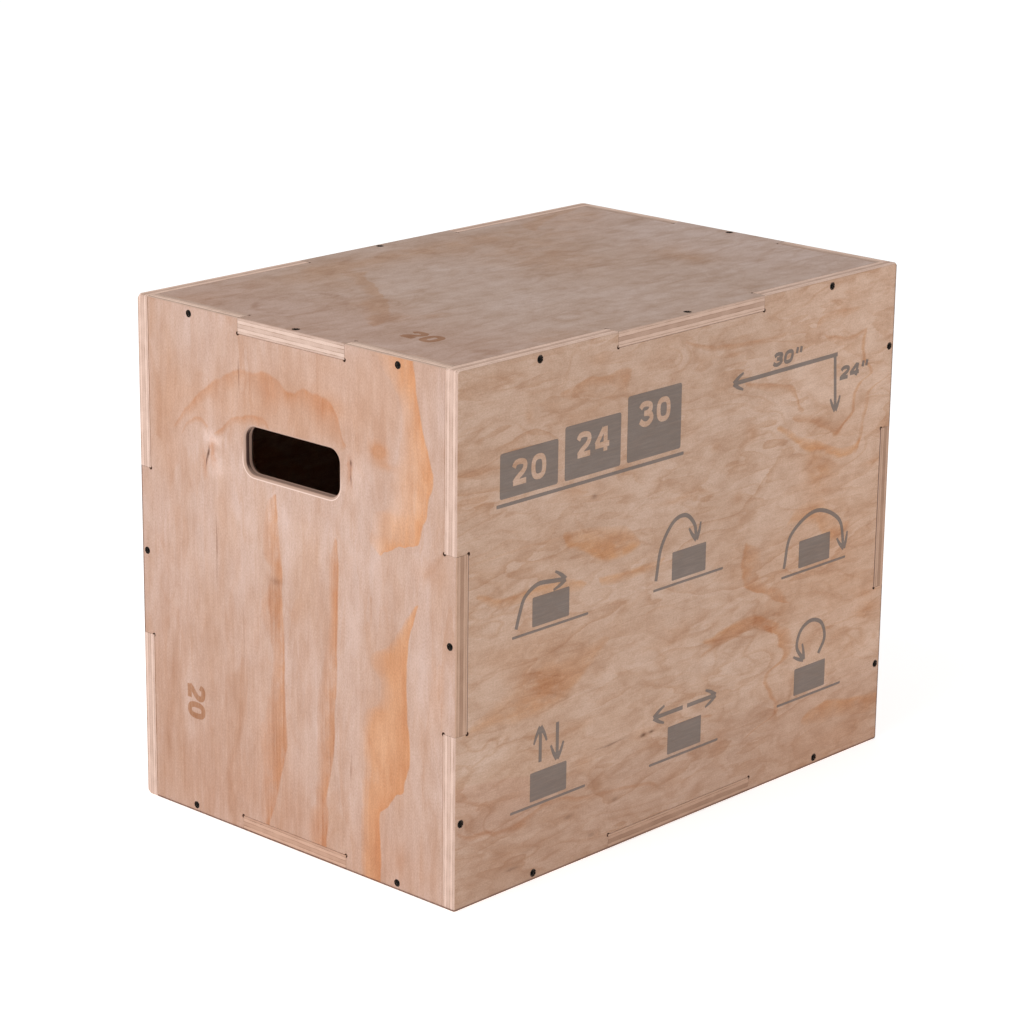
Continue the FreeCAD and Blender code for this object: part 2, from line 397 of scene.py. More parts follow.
LEFT_HALO = (
    ((440, 394), (36, 24), 0.6), ((424, 376), (14, 16), 0.8), ((463, 384), (8, 14), 0.9),
    ((470, 148), (28, 14), 0.8), ((75, 356), (38, 5), 0.8), ((380, 320), (66, 90), 0.8),
    ((425, 360), (14, 24), 0.5), ((250, 226), (140, 12), 0.5), ((190, 306), (110, 12), 0.4),
    ((330, 160), (110, 22), 0.3), ((380, 110), (24, 60), 0.5), ((320, 440), (90, 40), 0.4),
    ((240, 320), (70, 26), 0.4), ((250, 55), (80, 14), 0.4), ((470, 75), (60, 26), 0.5),
    ((430, 90), (24, 30), 0.4))
LEFT_BRIGHT = (
    ((463, 384), (7, 13), 0.95), ((427, 376), (12, 11), 0.9), ((472, 148), (20, 8), 0.4),
    ((447, 162), (11, 18), 0.6), ((463, 366), (5, 12), 0.5), ((385, 255), (40, 80), 0.50))
LEFT_RUST = (((447, 381), (14, 6), 1.1), ((432, 396), (15, 5), 0.7), ((470, 161), (17, 4), 0.9))
LEFT_SLIT = (((446, 460.5), (6, 1.5), 1.1), ((436, 462.0), (8, 0.9), 1.0))
LEFT_PINS = (((479, 159), (3.4, 1.5), 0.8), ((461, 159.5), (5, 0.9), 0.6), ((470, 160), (12, 1.0), 0.3))
LEFT_CRACKS = (
    ((336, 378.5), (30, 0.8), 0.9), ((545, 337.5), (16, 1.1), 0.7), ((317, 280), (4, 9), 0.5),
    ((125, 161), (14, 0.9), 0.6), ((240, 334), (24, 0.7), 0.5))
LEFT_TINTS = dict(
    glow=(0.98, 0.89, 0.80), low_shade_and_brown=(0.87, 0.76, 0.67), low_amber=(1.09, 0.86, 0.60),
    high_amber=(1.16, 0.91, 0.62), amber_rim=(0.95, 0.82, 0.68), ember=(0.95, 0.71, 0.49),
    dark_streak=(0.80, 0.70, 0.62), arch=(0.93, 0.71, 0.50), smear=(0.86, 0.74, 0.62),
    honey=(0.96, 0.76, 0.56), halo=(1.10, 1.15, 1.20), flare=(1.17, 1.25, 1.33), rust=(0.90, 0.70, 0.55),
    slit=(0.24, 0.15, 0.10), crack=(0.50, 0.37, 0.28))


def left_figure(along, across, colour, streak):
    """Figure of the left end: arches over the slot, amber patches, brown streaks and two pin knots, and
    painted shade low on the end.
    """
    upright = (along, across, HEIGHT, WIDTH, 1)
    sideways = (across, along, WIDTH, HEIGHT, -1)
    low = flame(*upright, 1.6, LEFT_LOW_PATCH)
    high = flame(*upright, 1.6, LEFT_HIGH_PATCH)
    patchy = noise(along / 40, across / 18, 73.0, 3.0, 0.6)
    lively = streak * 0.8 + patchy * 0.9 + 1.0
    body = worn_off(low, 0.65) * 1.6
    body = body + mounds(along, across, LEFT_PATCH_HEART)
    rim = worn_off(low, 3.0) + worn_off(high, 4.0) * 0.7
    lines = worn_off(flame(*upright, 1.2, widened(LEFT_STREAK, 1.3)), 0.7)
    lines = lines + worn_off(flame(*upright, 1.8, widened(LEFT_BAND, 1.4)), 0.6)
    wide_arch = flame(*sideways, 2.2, widened(LEFT_ARCH, 1.7))
    arches = worn_off(wide_arch, 1.0) + worn_off(flame(*sideways, 1.8, LEFT_INNER_ARCH), 0.9)
    smear = worn_off(flame(*upright, 5.0, LEFT_SMEAR), 0.7)
    smear = smear + worn_off(flame(*upright, 4.0, LEFT_COLUMN), 0.7)
    rag = noise(along / 15, across / 10, 79.0, 3.0, 0.6)
    ragged = (along + rag * 26, across + rag * 18)
    return layered(colour, LEFT_TINTS, dict(
        glow=mounds(along, across, LEFT_GLOW) * 1.1,
        low_shade_and_brown=mounds(along, across, LEFT_LOW_SHADE_AND_BROWN) * (streak * 1.6 + 1.0),
        low_amber=body * lively,
        high_amber=worn_off(high, 0.7) * lively,
        amber_rim=rim * lively,
        ember=lines * (streak * 1.6 + patchy * 2.4 + 0.85).clamped() * 1.1,
        dark_streak=lines * (streak * 3.0 + 0.1).clamped(),
        arch=arches * (patchy * 1.6 + streak * 0.8 + 0.76),
        smear=smear * lively * 0.7,
        honey=mounds(along, across, LEFT_SPOTS),
        halo=mounds(*ragged, LEFT_HALO),
        flare=mounds(*ragged, LEFT_BRIGHT),
        rust=mounds(*ragged, LEFT_RUST),
        slit=mounds(along, across + along * 0.16, LEFT_SLIT) + mounds(along, across, LEFT_PINS),
        crack=mounds(along, across, LEFT_CRACKS)))


# Front: places are (distance from the left edge, height, width), or (height, distance, width) where upright
FRONT_RISING = (
    (10, 199, 0), (21, 202, 8), (63, 203, 26), (99, 198, 46), (122, 198, 56), (155, 201, 54),
    (188, 214, 42), (215, 233, 26), (240, 251, 12), (256, 262, 0), (556, 322, 0), (577, 322, 14),
    (600, 316, 26), (625, 310, 32), (640, 294, 42), (658, 286, 32), (675, 292, 14), (690, 302, 0))
FRONT_FOLD = (
    (166, 394, 0), (172, 384, 14), (190, 375, 22), (205, 368, 28), (220, 358, 36), (232, 352, 40),
    (262, 349, 38), (280, 351, 28), (295, 356, 9), (304, 360, 0), (534, 444, 0), (544, 441, 6),
    (560, 431, 9), (572, 424, 10), (590, 412, 13), (605, 405, 15), (620, 404, 12), (640, 396, 11),
    (655, 390, 11), (670, 386, 11), (690, 388, 9), (700, 396, 5), (708, 406, 0))
FRONT_CREST = (
    (158, 557, 0), (168, 559, 10), (190, 563, 16), (207, 567, 15), (230, 563, 11), (250, 564, 18),
    (262, 566, 25), (274, 565, 22), (282, 562, 0), (364, 582, 0), (372, 579, 5), (395, 570, 6),
    (440, 562, 7), (487, 559, 6), (540, 558, 5), (562, 557, 0), (604, 555, 0), (611, 561, 7),
    (617, 566, 10), (648, 570, 11), (679, 569, 7), (697, 566, 0))
FRONT_RIPPLE = (
    (2, 93, 0), (12, 88, 6), (25, 83, 7), (50, 82, 7), (70, 76, 6), (100, 77, 9), (125, 82, 7),
    (150, 88, 7), (180, 85, 7), (200, 78, 7), (250, 72, 6), (300, 66, 4), (330, 60, 4), (347, 52, 0),
    (366, 122, 0), (380, 121, 4), (430, 118, 4), (442, 115, 0), (468, 513, 0), (480, 511, 5),
    (500, 507, 7), (525, 502, 10), (545, 497, 7), (560, 493, 8), (570, 487, 10), (577, 478, 10),
    (583, 466, 10), (594, 460, 0), (616, 547, 0), (630, 542, 6), (650, 538, 7), (681, 533, 7),
    (700, 536, 5), (712, 538, 0))
FRONT_HEART = (
    (408, 193, 0), (424, 197, 6), (450, 201, 16), (480, 203, 20), (500, 206, 18), (520, 204, 18),
    (535, 196, 26), (546, 190, 0), (564, 453, 0), (572, 449, 8), (585, 445, 10), (600, 441, 11),
    (615, 435, 12), (625, 430, 12), (640, 425, 12), (652, 416, 17), (662, 420, 12), (672, 430, 5),
    (682, 442, 0))
FRONT_DRAPE = (
    (68, 494, 0), (73, 503, 5), (78, 520, 6), (83, 545, 7), (90, 554, 8), (100, 553, 8), (110, 546, 8),
    (120, 540, 8), (130, 533, 7), (142, 534, 8), (148, 548, 14), (155, 565, 16), (165, 570, 16),
    (172, 557, 24), (180, 556, 26), (188, 552, 28), (195, 538, 30), (200, 533, 12), (206, 530, 0),
    (220, 578, 0), (228, 556, 16), (235, 541, 25), (245, 526, 29), (250, 511, 31), (258, 496, 31),
    (270, 486, 34), (285, 481, 38), (300, 483, 34), (312, 487, 12), (320, 490, 0), (418, 654, 0),
    (426, 664, 6), (444, 684, 6), (455, 686, 6), (468, 690, 6), (475, 700, 6), (482, 717, 7),
    (492, 710, 6), (500, 700, 6), (521, 697, 6), (530, 702, 5), (538, 706, 0))
FRONT_OUTER = (
    (384, 692, 0), (390, 698, 6), (400, 703, 8), (410, 706, 8), (425, 708, 8), (440, 714, 8),
    (452, 717, 8), (458, 721, 8), (465, 735, 6), (470, 752, 5), (474, 760, 0))
FRONT_CORNER = (
    (26, 357, 0), (45, 353, 9), (60, 346, 11), (90, 343, 11), (120, 345, 16), (160, 345, 18),
    (200, 336, 11), (215, 330, 0), (224, 332, 0), (235, 331, 9), (280, 330, 11), (330, 330, 9),
    (346, 332, 0), (398, 214, 0), (430, 212, 9), (445, 217, 13), (470, 221, 16), (500, 223, 18),
    (530, 214, 16), (550, 203, 9), (562, 196, 0), (604, 61, 0), (611, 67, 9), (616, 70, 14),
    (640, 74, 22), (655, 77, 27), (670, 75, 24), (690, 70, 22), (720, 66, 24), (762, 62, 24))
FRONT_SHADE = ((0, 143, 70), (50, 138, 70), (100, 130, 60), (130, 124, 40), (160, 112, 14), (178, 106, 0))

# Hills of tint, each of a middle, a size and a height, in the same places
FRONT_BLOOMS = (
    ((140, 228), (46, 24), 0.9), ((176, 388), (7, 9), 0.6), ((268, 552), (8, 12), 0.6),
    ((222, 583), (18, 8), 0.5), ((612, 326), (18, 10), 0.8), ((660, 292), (20, 8), 0.7),
    ((728, 178), (22, 12), 1.0), ((735, 202), (26, 6), 0.7), ((620, 390), (24, 20), 0.9),
    ((628, 366), (26, 24), 0.8), ((240, 366), (40, 12), 0.5), ((654, 420), (7, 5), 0.7),
    ((315, 127), (26, 7), 0.6), ((455, 549), (14, 4), 0.6), ((496, 447), (9, 9), 0.6),
    ((428, 445), (7, 5), 0.5), ((470, 376), (10, 7), 0.5), ((108, 72), (14, 4), 0.7),
    ((20, 464), (36, 8), 0.6), ((20, 494), (46, 5), 0.6), ((112, 541), (6, 8), 0.5),
    ((188, 440), (24, 9), 0.6), ((372, 396), (40, 4), 0.6), ((752, 408), (12, 9), 0.5),
    ((735, 367), (30, 4), 0.6), ((200, 165), (24, 5), 0.5), ((210, 116), (14, 12), 0.5),
    ((450, 78), (14, 20), 0.4), ((365, 55), (16, 14), 0.4), ((365, 225), (26, 16), 0.4),
    ((640, 270), (60, 26), 0.4), ((60, 280), (70, 20), 0.35), ((690, 30), (60, 14), 0.4),
    ((150, 270), (80, 36), 0.35), ((545, 240), (40, 50), 0.4), ((470, 290), (36, 46), 0.3),
    ((690, 220), (50, 26), 0.3))
FRONT_BLEACHED = (
    ((60, 170), (60, 22), 0.9), ((450, 172), (70, 22), 0.9), ((78, 555), (30, 14), 0.5),
    ((650, 560), (130, 60), 0.5), ((450, 585), (120, 14), 0.5), ((520, 440), (60, 60), 0.4),
    ((722, 510), (34, 80), 0.7), ((640, 470), (60, 30), 0.4), ((530, 462), (26, 18), 0.6),
    ((430, 505), (40, 12), 0.6), ((400, 290), (40, 18), 0.5), ((700, 85), (50, 7), 0.6),
    ((290, 300), (40, 30), 0.4), ((330, 440), (40, 20), 0.5), ((380, 470), (60, 60), 0.3),
    ((690, 340), (40, 30), 0.6), ((740, 450), (30, 60), 0.6))
FRONT_DASHES = (
    ((312, 125), (5, 1.8), 1.0), ((326, 124.6), (5, 1.7), 0.9), ((256, 129), (18, 1.1), 0.6),
    ((218, 429), (4, 2.2), 0.5), ((748, 406), (4, 2), 0.5), ((185, 59), (7, 2), 0.4),
    ((226, 27), (6, 2.5), 0.4), ((95, 24), (10, 1.5), 0.4), ((262, 58), (5, 2), 0.4))
# Tints of the front figure; two of them are painted light and shade: the lighter right part and the darker
# low band
FRONT_TINTS = dict(
    painted_light_right=(1.09, 1.06, 1.03), amber=(0.98, 0.77, 0.53), line=(0.86, 0.68, 0.51), drape=(0.88, 0.66, 0.45),
    shade=(0.94, 0.88, 0.86), painted_shade_low=(0.88, 0.84, 0.82), bloom=(0.86, 0.66, 0.46),
    bleached=(1.08, 1.13, 1.18), dash=(0.30, 0.21, 0.15))


def front_figure(along, across, colour, streak):
    """Figure of the long panels: a heart-shaped fold, drapes, amber patches and thin wandering lines, with
    painted light on the right part and painted shade low down.
    """
    level = (along, across, LENGTH, HEIGHT)
    upright = (across, along, HEIGHT, LENGTH)
    patchy = noise(along / 34, across / 22, 71.0, 3.0, 0.6)
    lively = (streak * 0.8 + patchy * 2.4 + 0.9).clamped()
    patches = worn_off(flame(*level, 1, 6.0, FRONT_RISING), 0.6) * 0.7
    patches = patches + worn_off(flame(*level, 1, 3.5, FRONT_FOLD), 0.5) * 1.1
    patches = patches + worn_off(flame(*level, -1, 3.0, FRONT_CORNER), 0.7)
    lines = worn_off(flame(*level, -1, 2.0, FRONT_CREST), 0.7)
    lines = lines + worn_off(flame(*level, -1, 2.0, FRONT_RIPPLE), 0.7)
    lines = lines + worn_off(flame(*level, 1, 2.0, FRONT_HEART), 0.7)
    lines = lines + worn_off(flame(*upright, -1, 2.0, FRONT_OUTER), 0.7)
    return layered(colour, FRONT_TINTS, dict(
        # Painted light on the right part of the panel, and painted shade on a band low down
        painted_light_right=along.step(430, 680),
        amber=patches * lively,
        line=lines * lively * 0.9,
        drape=worn_off(flame(*upright, 1, 3.5, FRONT_DRAPE), 0.6) * lively,
        shade=worn_off(flame(*level, -1, 2.0, FRONT_SHADE), 0.5),
        painted_shade_low=(across + streak * 60).step(135, 85),
        bloom=mounds(along, across, FRONT_BLOOMS) * lively * 0.8,
        bleached=mounds(along, across, FRONT_BLEACHED),
        dash=mounds(along, across, FRONT_DASHES)))


# Top: places are (distance from the left edge, distance from the front edge, width)
EYE_MIDDLE = (100.0, 342.0)
EYE_SIZE = (56, 46)
EYE_LINE = 0.13
TOP_BAND = (
    (76, 204, 0), (95, 208, 22), (120, 225, 44), (150, 252, 46), (175, 280, 34), (190, 300, 38),
    (205, 325, 34), (225, 350, 44), (240, 380, 44), (262, 402, 22), (284, 410, 0), (575, 425, 0),
    (590, 432, 26), (620, 452, 34), (660, 468, 30), (700, 480, 20), (730, 486, 0))

# Hills of tint, each of a middle, a size and a height, in the same places
TOP_CLOUDS = (
    ((480, 320), (80, 100), 0.8), ((350, 440), (200, 30), 1.0), ((620, 230), (40, 50), 0.6),
    ((190, 35), (40, 26), 0.6), ((160, 195), (20, 8), 0.7), ((30, 440), (24, 30), 0.7),
    ((580, 400), (80, 60), 0.5), ((150, 285), (36, 42), 0.6), ((205, 385), (40, 46), 0.6),
    ((120, 215), (26, 20), 0.6), ((240, 455), (70, 28), 0.5), ((600, 190), (24, 40), 0.5),
    ((690, 455), (60, 45), 0.7))
TOP_BLEACHED = (
    ((360, 330), (60, 30), 0.6), ((560, 460), (24, 40), 0.8), ((300, 200), (90, 60), 0.5),
    ((690, 300), (60, 120), 0.5), ((95, 345), (40, 30), 0.3))
TOP_TINTS = dict(
    cloud=(0.92, 0.80, 0.68), eye=(0.84, 0.77, 0.72), bleached=(1.06, 1.11, 1.16),
    left_part=(0.95, 0.89, 0.87), right_part=(1.07, 1.09, 1.13))


def top_figure(along, across, colour, streak):
    """Figure of the level panels: one slanting amber band and broad cloudy patches."""
    band = worn_off(flame(along, across, LENGTH, WIDTH, 1, 4.0, TOP_BAND), 0.8)
    clouds = mounds(along, across, TOP_CLOUDS)
    patchy = noise(along / 44, across / 40, 83.0, 3.0, 0.6)
    lively = streak * 0.8 + patchy * 2.6 + 1.0
    wide = (along - EYE_MIDDLE[0]) / EYE_SIZE[0]
    deep = (across - EYE_MIDDLE[1]) / EYE_SIZE[1]
    ring_gap = ((wide * wide + deep * deep).math("SQRT") - 1.0).absolute()
    return layered(colour, TOP_TINTS, dict(
        cloud=(band * 1.1 + clouds * 0.9) * lively,
        eye=(1.0 - ring_gap / EYE_LINE).clamped() * (patchy * 3.0 + 0.6).clamped(),
        bleached=mounds(along, across, TOP_BLEACHED),
        left_part=along.step(230, 60),
        right_part=along.step(540, 680)))


def no_figure(along, across, colour, streak):
    """Plain veneer, with its rings and fibres alone."""
    return colour


# Hills that bend the growth rings round the figure
FRONT_HILLS = (
    ((645, 487), (88, 60), 1.0), ((652, 553), (56, 18), 0.5), ((505, 176), (95, 52), 0.9),
    ((170, 480), (120, 60), 0.9), ((300, 100), (150, 40), -0.9))
TOP_HILLS = (((92, 350), (62, 60), 2.0), ((595, 240), (70, 55), 1.4), ((350, 330), (90, 60), 0.8))


# Plywood

END_RINGS = dict(
    length=520, breadth=70, count=5.0, slope=0.010, ragged=0.20, curl=0.2, wander=9, wisps=0.25,
    cloud=(100, 36), cloudy=2.1, smudge=(48, 21), mottled=1.5, tint=(0.88, 0.72, 0.56), strength=0.50)
LONG_RINGS = dict(
    length=230, breadth=70, count=6.0, slope=0.004, ragged=0.35, curl=0.7, wander=14, wisps=0.5,
    cloud=(85, 40), cloudy=1.7, smudge=(30, 17), mottled=1.9, tint=(0.78, 0.62, 0.46), strength=0.80)
TOP_RINGS = dict(
    length=300, breadth=70, count=5.0, slope=0.003, ragged=0.35, curl=0.4, wander=18, wisps=0.5,
    cloud=(80, 48), cloudy=2.4, smudge=(32, 22), mottled=2.1, tint=(0.82, 0.72, 0.62), strength=0.65)
PEACH = ((0.640, 0.463, 0.400), (0.572, 0.370, 0.279))
BROWN = ((0.732, 0.519, 0.406), (0.635, 0.415, 0.296))
GREY = ((0.690, 0.525, 0.455), (0.620, 0.445, 0.360))
PLY_EDGES = (2.6, 6.6, 11.4, 15.4)
# Slot walls and lip: pale and crossed plies, the crossed ones near black with painted shade; then the upper
# lip's painted shade and the lower lip's painted highlight
SLOT_PLIES_AND_SHADE = ((0.530, 0.350, 0.272), (0.085, 0.042, 0.033))
SLOT_LIP_SHADE_AND_HIGHLIGHT = ((0.440, 0.300, 0.240), (0.840, 0.640, 0.555))
# Tints of the plies and edges; three of them paint shade: on edges hidden in joints, deep in the slot and
# along the arrises
PLY_TINTS = dict(
    mottle=(0.76, 0.66, 0.57), hair=(0.70, 0.64, 0.58), pore=(0.78, 0.70, 0.62),
    end_grain=(0.70, 0.64, 0.60), speck=(0.78, 0.72, 0.66), glue=(0.48, 0.37, 0.29),
    hollow=(0.16, 0.11, 0.09), painted_joint_shade=(0.36, 0.31, 0.29), outer_plies_darker=(0.62, 0.59, 0.57), deep=(0.30, 0.25, 0.22),
    routed_glue=(0.52, 0.44, 0.38), arris_shade=(0.28, 0.20, 0.165))
PLY_BLUR = 0.06
GLUE_FADE = (0.6, 0.15)
CORE_FADES = ((6.0, 7.2), (11.8, 10.6))
SQUARE_ON = (0.3, 0.8)
ARRIS_SHADE_FADE = (3.8, 1.8)
OFF_ARRIS_PLANE = (0.99, 0.9)
ROUTED_FADE = (11.0, 10.0)
WOOD_BUMP = 0.00012
WOOD_SHEEN = 0.35
INKED_WOOD = (0.600, 0.410, 0.305)
INK_TINT = (0.36, 0.41, 0.47)
SCORCH_TINT = (0.69, 0.49, 0.31)
SCREW_BLACKS = ((0.008, 0.007, 0.006), (0.032, 0.029, 0.026))
# Near-black painted shade for the rims of the screw holes
HOLE_SHADE_BLACKS = ((0.010, 0.007, 0.005), (0.060, 0.038, 0.026))


def inked(veneer, fibre):
    """Thin grey stencil ink: evens the wood out, shows a little of its figure, thins along the fibres."""
    evened = blended(veneer, INKED_WOOD, fibre * 0.2 + 0.6)
    return tinted(evened, INK_TINT, (fibre * 0.3 + 0.98).clamped())


def scorched(veneer, fibre):
    """Wood browned by a hot stamp, unevenly along the fibres."""
    return tinted(veneer, SCORCH_TINT, (fibre * 0.8 + 0.94).clamped())


def beyond_slot(along, across):
    """Distance of a place from the hand slot's outline, and its height over the slot's middle.

    The outline is a box with round corners. Both are the same for a sheet that is turned end for end.
    """
    rise = (along - HEIGHT / 2).absolute() - (HEIGHT / 2 - SLOT_DROP)
    up = (rise.absolute() - (SLOT_HEIGHT / 2 - SLOT_CORNER)).math("MAXIMUM", 0.0)
    aside = ((across - WIDTH / 2).absolute() - (SLOT_LENGTH / 2 - SLOT_CORNER)).math("MAXIMUM", 0.0)
    return (up * up + aside * aside).math("SQRT") - SLOT_CORNER, rise


def plywood(name, through, outer, outward, grain, seed, tones, cut_tones, ring, figure,
            hills=(), slot=False, shaded_arrises=()):
    """Panel of plywood: a rotary-cut veneer on both faces and five plies on every sawn edge.

    through is the axis of the thickness, outer the place of the outer face on it and outward the way
    it looks; grain is the axis that the face grain follows; tones are the veneer's pale and tan wood,
    cut_tones the edges sawn along and across the grain; ring holds the growth rings' sizes; figure draws
    the veneer's own figure and hills bend its rings; slot is for panels with one, whose walls and lip get
    painted shade and a painted highlight; the last argument holds the box's arrises that get a dark band
    of painted shade, each an axis, its place on it and the way inwards. Sawn edges hidden in joints get
    painted shade too.
    """
    material, tree, shader = new_finish(name)
    place = place_on(tree)
    facing = facing_on(tree)
    cross = 3 - through - grain
    starts = (-LENGTH / 2, -WIDTH / 2, 0.0)
    spans = (LENGTH, WIDTH, HEIGHT)
    along = place[grain] - starts[grain]
    across = place[cross] - starts[cross]
    depth = ((outer - place[through]) * outward).math("MAXIMUM", 0.0)

    def grained(length, breadth, shift, *more):
        """Noise of a length along the grain and a breadth across it."""
        return noise(along / length, across / breadth, seed + shift, *more)

    sway = grained(140, 50, 0, 2.0)
    ripple = grained(26, 7, 3, 3.0, 0.6)
    soft_across = across + sway * 7 + ripple * 4
    soft_along = along + grained(60, 18, 5, 2.0) * ring["wander"]

    broad = grained(240, 70, 7, 3.0, 0.55)
    cloud = grained(ring["cloud"][0], ring["cloud"][1], 53, 4.0, 0.6, ring["curl"])
    veneer = blended(*tones, (broad * 1.6 + cloud * ring["cloudy"] + 0.45).clamped()).named("wood_tones")

    height = grained(ring["length"], ring["breadth"], 11, 2.0, 0.45, ring["curl"]) * ring["count"]
    height = height + across * ring["slope"] + ripple * ring["ragged"]
    if hills:
        height = height + mounds(soft_along, soft_across, hills)
    come_and_go = (grained(120, 50, 13, 1.0) * 3.4 + 0.5).clamped()
    late = growth_rings(height, 3.0) * come_and_go
    veneer = tinted(veneer, ring["tint"], late * ring["strength"])
    fine_height = grained(130, 26, 31, 2.0, 0.5) * 4.0 + ripple * 0.5
    fine_patches = (grained(90, 40, 37, 1.0) * 3.2 + 0.35).clamped()
    fine_late = growth_rings(fine_height, 2.2) * fine_patches
    veneer = tinted(veneer, ring["tint"], fine_late * ring["strength"] * 0.8)

    swirl = grained(120, 44, 47, 2.0, 0.5, 0.9)
    wisp_patches = (grained(110, 60, 59, 1.0) * 3.0 + 0.5).clamped()
    wisp = (1.0 - swirl.absolute() / 0.05).clamped() * wisp_patches
    veneer = tinted(veneer, ring["tint"], wisp * ring["wisps"])

    streak = grained(110, 5.0, 41, 3.0, 0.6)
    mottle = grained(ring["smudge"][0], ring["smudge"][1], 43, 4.0, 0.65, ring["curl"])
    veneer = tinted(veneer, PLY_TINTS["mottle"],
                    (streak * 0.4 + mottle * ring["mottled"] + 0.20).clamped())
    veneer = figure(soft_along, soft_across, veneer, streak)

    fibre = grained(34, 2.4, 17, 3.0, 0.6).named("fibre")
    hair = grained(2.6, 1.5, 19, 2.0, 0.7)
    veneer = tinted(veneer, PLY_TINTS["hair"], (fibre * 0.5 + hair * 1.6 + 0.30).clamped())
    pores = grained(6, 1.0, 23, 1.0).step(0.20, 0.30)
    veneer = tinted(veneer, PLY_TINTS["pore"], pores * 0.5)

    # Sawn edges: plies by depth, with glue lines, end grain and a few voids, and painted shade where they
    # are hidden in joints
    order = sum(depth.step(edge - PLY_BLUR, edge + PLY_BLUR) for edge in PLY_EDGES)
    lines = sum((depth - edge).absolute().step(*GLUE_FADE) for edge in PLY_EDGES)
    crossed = (order * 0.5).math("FRACT") * 2.0
    across_cut = facing[grain].step(*SQUARE_ON)
    core_ply = depth.step(*CORE_FADES[0]) * depth.step(*CORE_FADES[1])
    end_grain = across_cut * (1.0 - crossed) * 0.5 + (1.0 - across_cut) * core_ply
    run = noise(along / 24, across / 24, order * 7.3 + seed, 2.0)
    speck = noise(along / 1.4, across / 1.4, depth / 0.9, 2.0)
    cut = blended(*cut_tones, across_cut).named("cut_tones")
    cut = tinted(cut, PLY_TINTS["end_grain"], (end_grain * 0.85 + run * 0.9 + 0.08).clamped())
    cut = tinted(cut, PLY_TINTS["speck"], (speck * 1.7 + 0.15).clamped())
    cut = tinted(cut, PLY_TINTS["glue"], lines * (run * 3.0 + 0.5).clamped())
    hollow = noise(along / 17, across / 17, order * 3.1 + seed + 29, 1.0).step(0.24, 0.28)
    cut = tinted(cut, PLY_TINTS["hollow"], hollow * lines)
    # Painted shade: sawn edges inside the panel's outline, in the finger joints and the slot, are darkened
    # where little light reaches
    buried = 0.0
    for axis in (grain, cross):
        inset = (place[axis] - starts[axis]).math("MINIMUM", starts[axis] + spans[axis] - place[axis])
        buried = buried + facing[axis].step(*SQUARE_ON) * inset.step(2.5, 4.0)
    joint_shade_mask = buried * depth.step(0.15, 0.7) * depth.step(PANEL - 0.8, PANEL - 2.4)
    cut = tinted(cut, PLY_TINTS["painted_joint_shade"], joint_shade_mask)
    sawn = depth.step(0.15, 0.5) * depth.step(PANEL - 0.15, PANEL - 0.5)
    if slot:
        # The end panels' across-cut edges are darker outside the core plies and stay pale from about 4 mm to
        # 10 mm deep
        outer_plies_darker = 1.0 - depth.step(2.2, 4.4) * depth.step(12.5, 9.5)
        cut = tinted(cut, PLY_TINTS["outer_plies_darker"], across_cut * outer_plies_darker * 0.85)
        beyond, rise = beyond_slot(along, across)
        lower = rise.step(12.0, -14.0)
        # Painted highlight and shade on the slot's rounded lip: pale on the lower lip, darker on the upper
        # lip
        lip_shade_and_highlight = blended(*SLOT_LIP_SHADE_AND_HIGHLIGHT, lower)
        # Slot walls with painted shade: the crossed plies near black over their own darker end grain, and
        # the upper and lower walls darker still past about 10 mm deep
        slot_wall_shaded = blended(*SLOT_PLIES_AND_SHADE, crossed * (1.0 - across_cut * 0.55))
        slot_wall_shaded = tinted(slot_wall_shaded, PLY_TINTS["deep"], across_cut * depth.step(9.5, 11.5))
        slot_wall_shaded = tinted(slot_wall_shaded, PLY_TINTS["routed_glue"], lines * 0.7)
        slot_wall_shaded = blended(lip_shade_and_highlight, slot_wall_shaded, beyond.step(SLOT_ROUND - 1.0, SLOT_ROUND - 1.9))
        cut = blended(cut, slot_wall_shaded, beyond.step(*ROUTED_FADE))
        rounded = depth.step(0.01, 0.05) * depth.step(PANEL - 0.01, PANEL - 0.05)
        # On the lower lip the painted highlight takes the place of the veneer
        sawn = sawn.math("MAXIMUM", beyond.step(SLOT_ROUND + 0.2, SLOT_ROUND - 0.4) * rounded * lower)
    colour = blended(veneer, cut, sawn).named("face_or_edge")
    # Painted shade: a dark band along the given arrises, as a contact shadow along the bottom edges and a
    # dark outline along the far upright edges
    for axis, arris, inwards in shaded_arrises:
        near = ((place[axis] - arris) * inwards).step(*ARRIS_SHADE_FADE).named("arris_shade")
        arris_shade_band = near * facing[axis].step(*OFF_ARRIS_PLANE)
        colour = tinted(colour, PLY_TINTS["arris_shade"], arris_shade_band * (streak * 1.2 + 0.92).clamped())

    tree.links.new(colour.socket, shader.inputs["Base Color"])
    join(shader.inputs["Roughness"], 0.60 + fibre * 0.18 - late * 0.08 + sawn * 0.12)
    shader.inputs["Specular IOR Level"].default_value = WOOD_SHEEN
    roughen(tree, shader, fibre * 0.6 + hair * 0.3 + late * 0.4 + speck * sawn * 0.6, WOOD_BUMP)
    return material


def turned_sheet(name, sheet, ways, tones, cut_tones, arrises_shaded=False):
    """Copy of a panel's finish, turned about the box, in its own tones, with the painted shade on its
    arrises or without it.
    """
    material = sheet.copy()
    material.name = name
    nodes = material.node_tree.nodes
    nodes["turn"].inputs[1].default_value = [way / MM for way in ways]
    nodes["turn"].inputs[2].default_value = (0.0, 0.0, HEIGHT if ways[2] < 0 else 0.0)
    for node, pair in ((nodes["wood_tones"], tones), (nodes["cut_tones"], cut_tones)):
        node.inputs[6].default_value = (*pair[0], 1.0)
        node.inputs[7].default_value = (*pair[1], 1.0)
    # Switches the painted shade along the arrises on or off
    for node in nodes:
        if node.name.startswith("arris_shade"):
            node.inputs["To Min"].default_value = float(arrises_shaded)
    return material


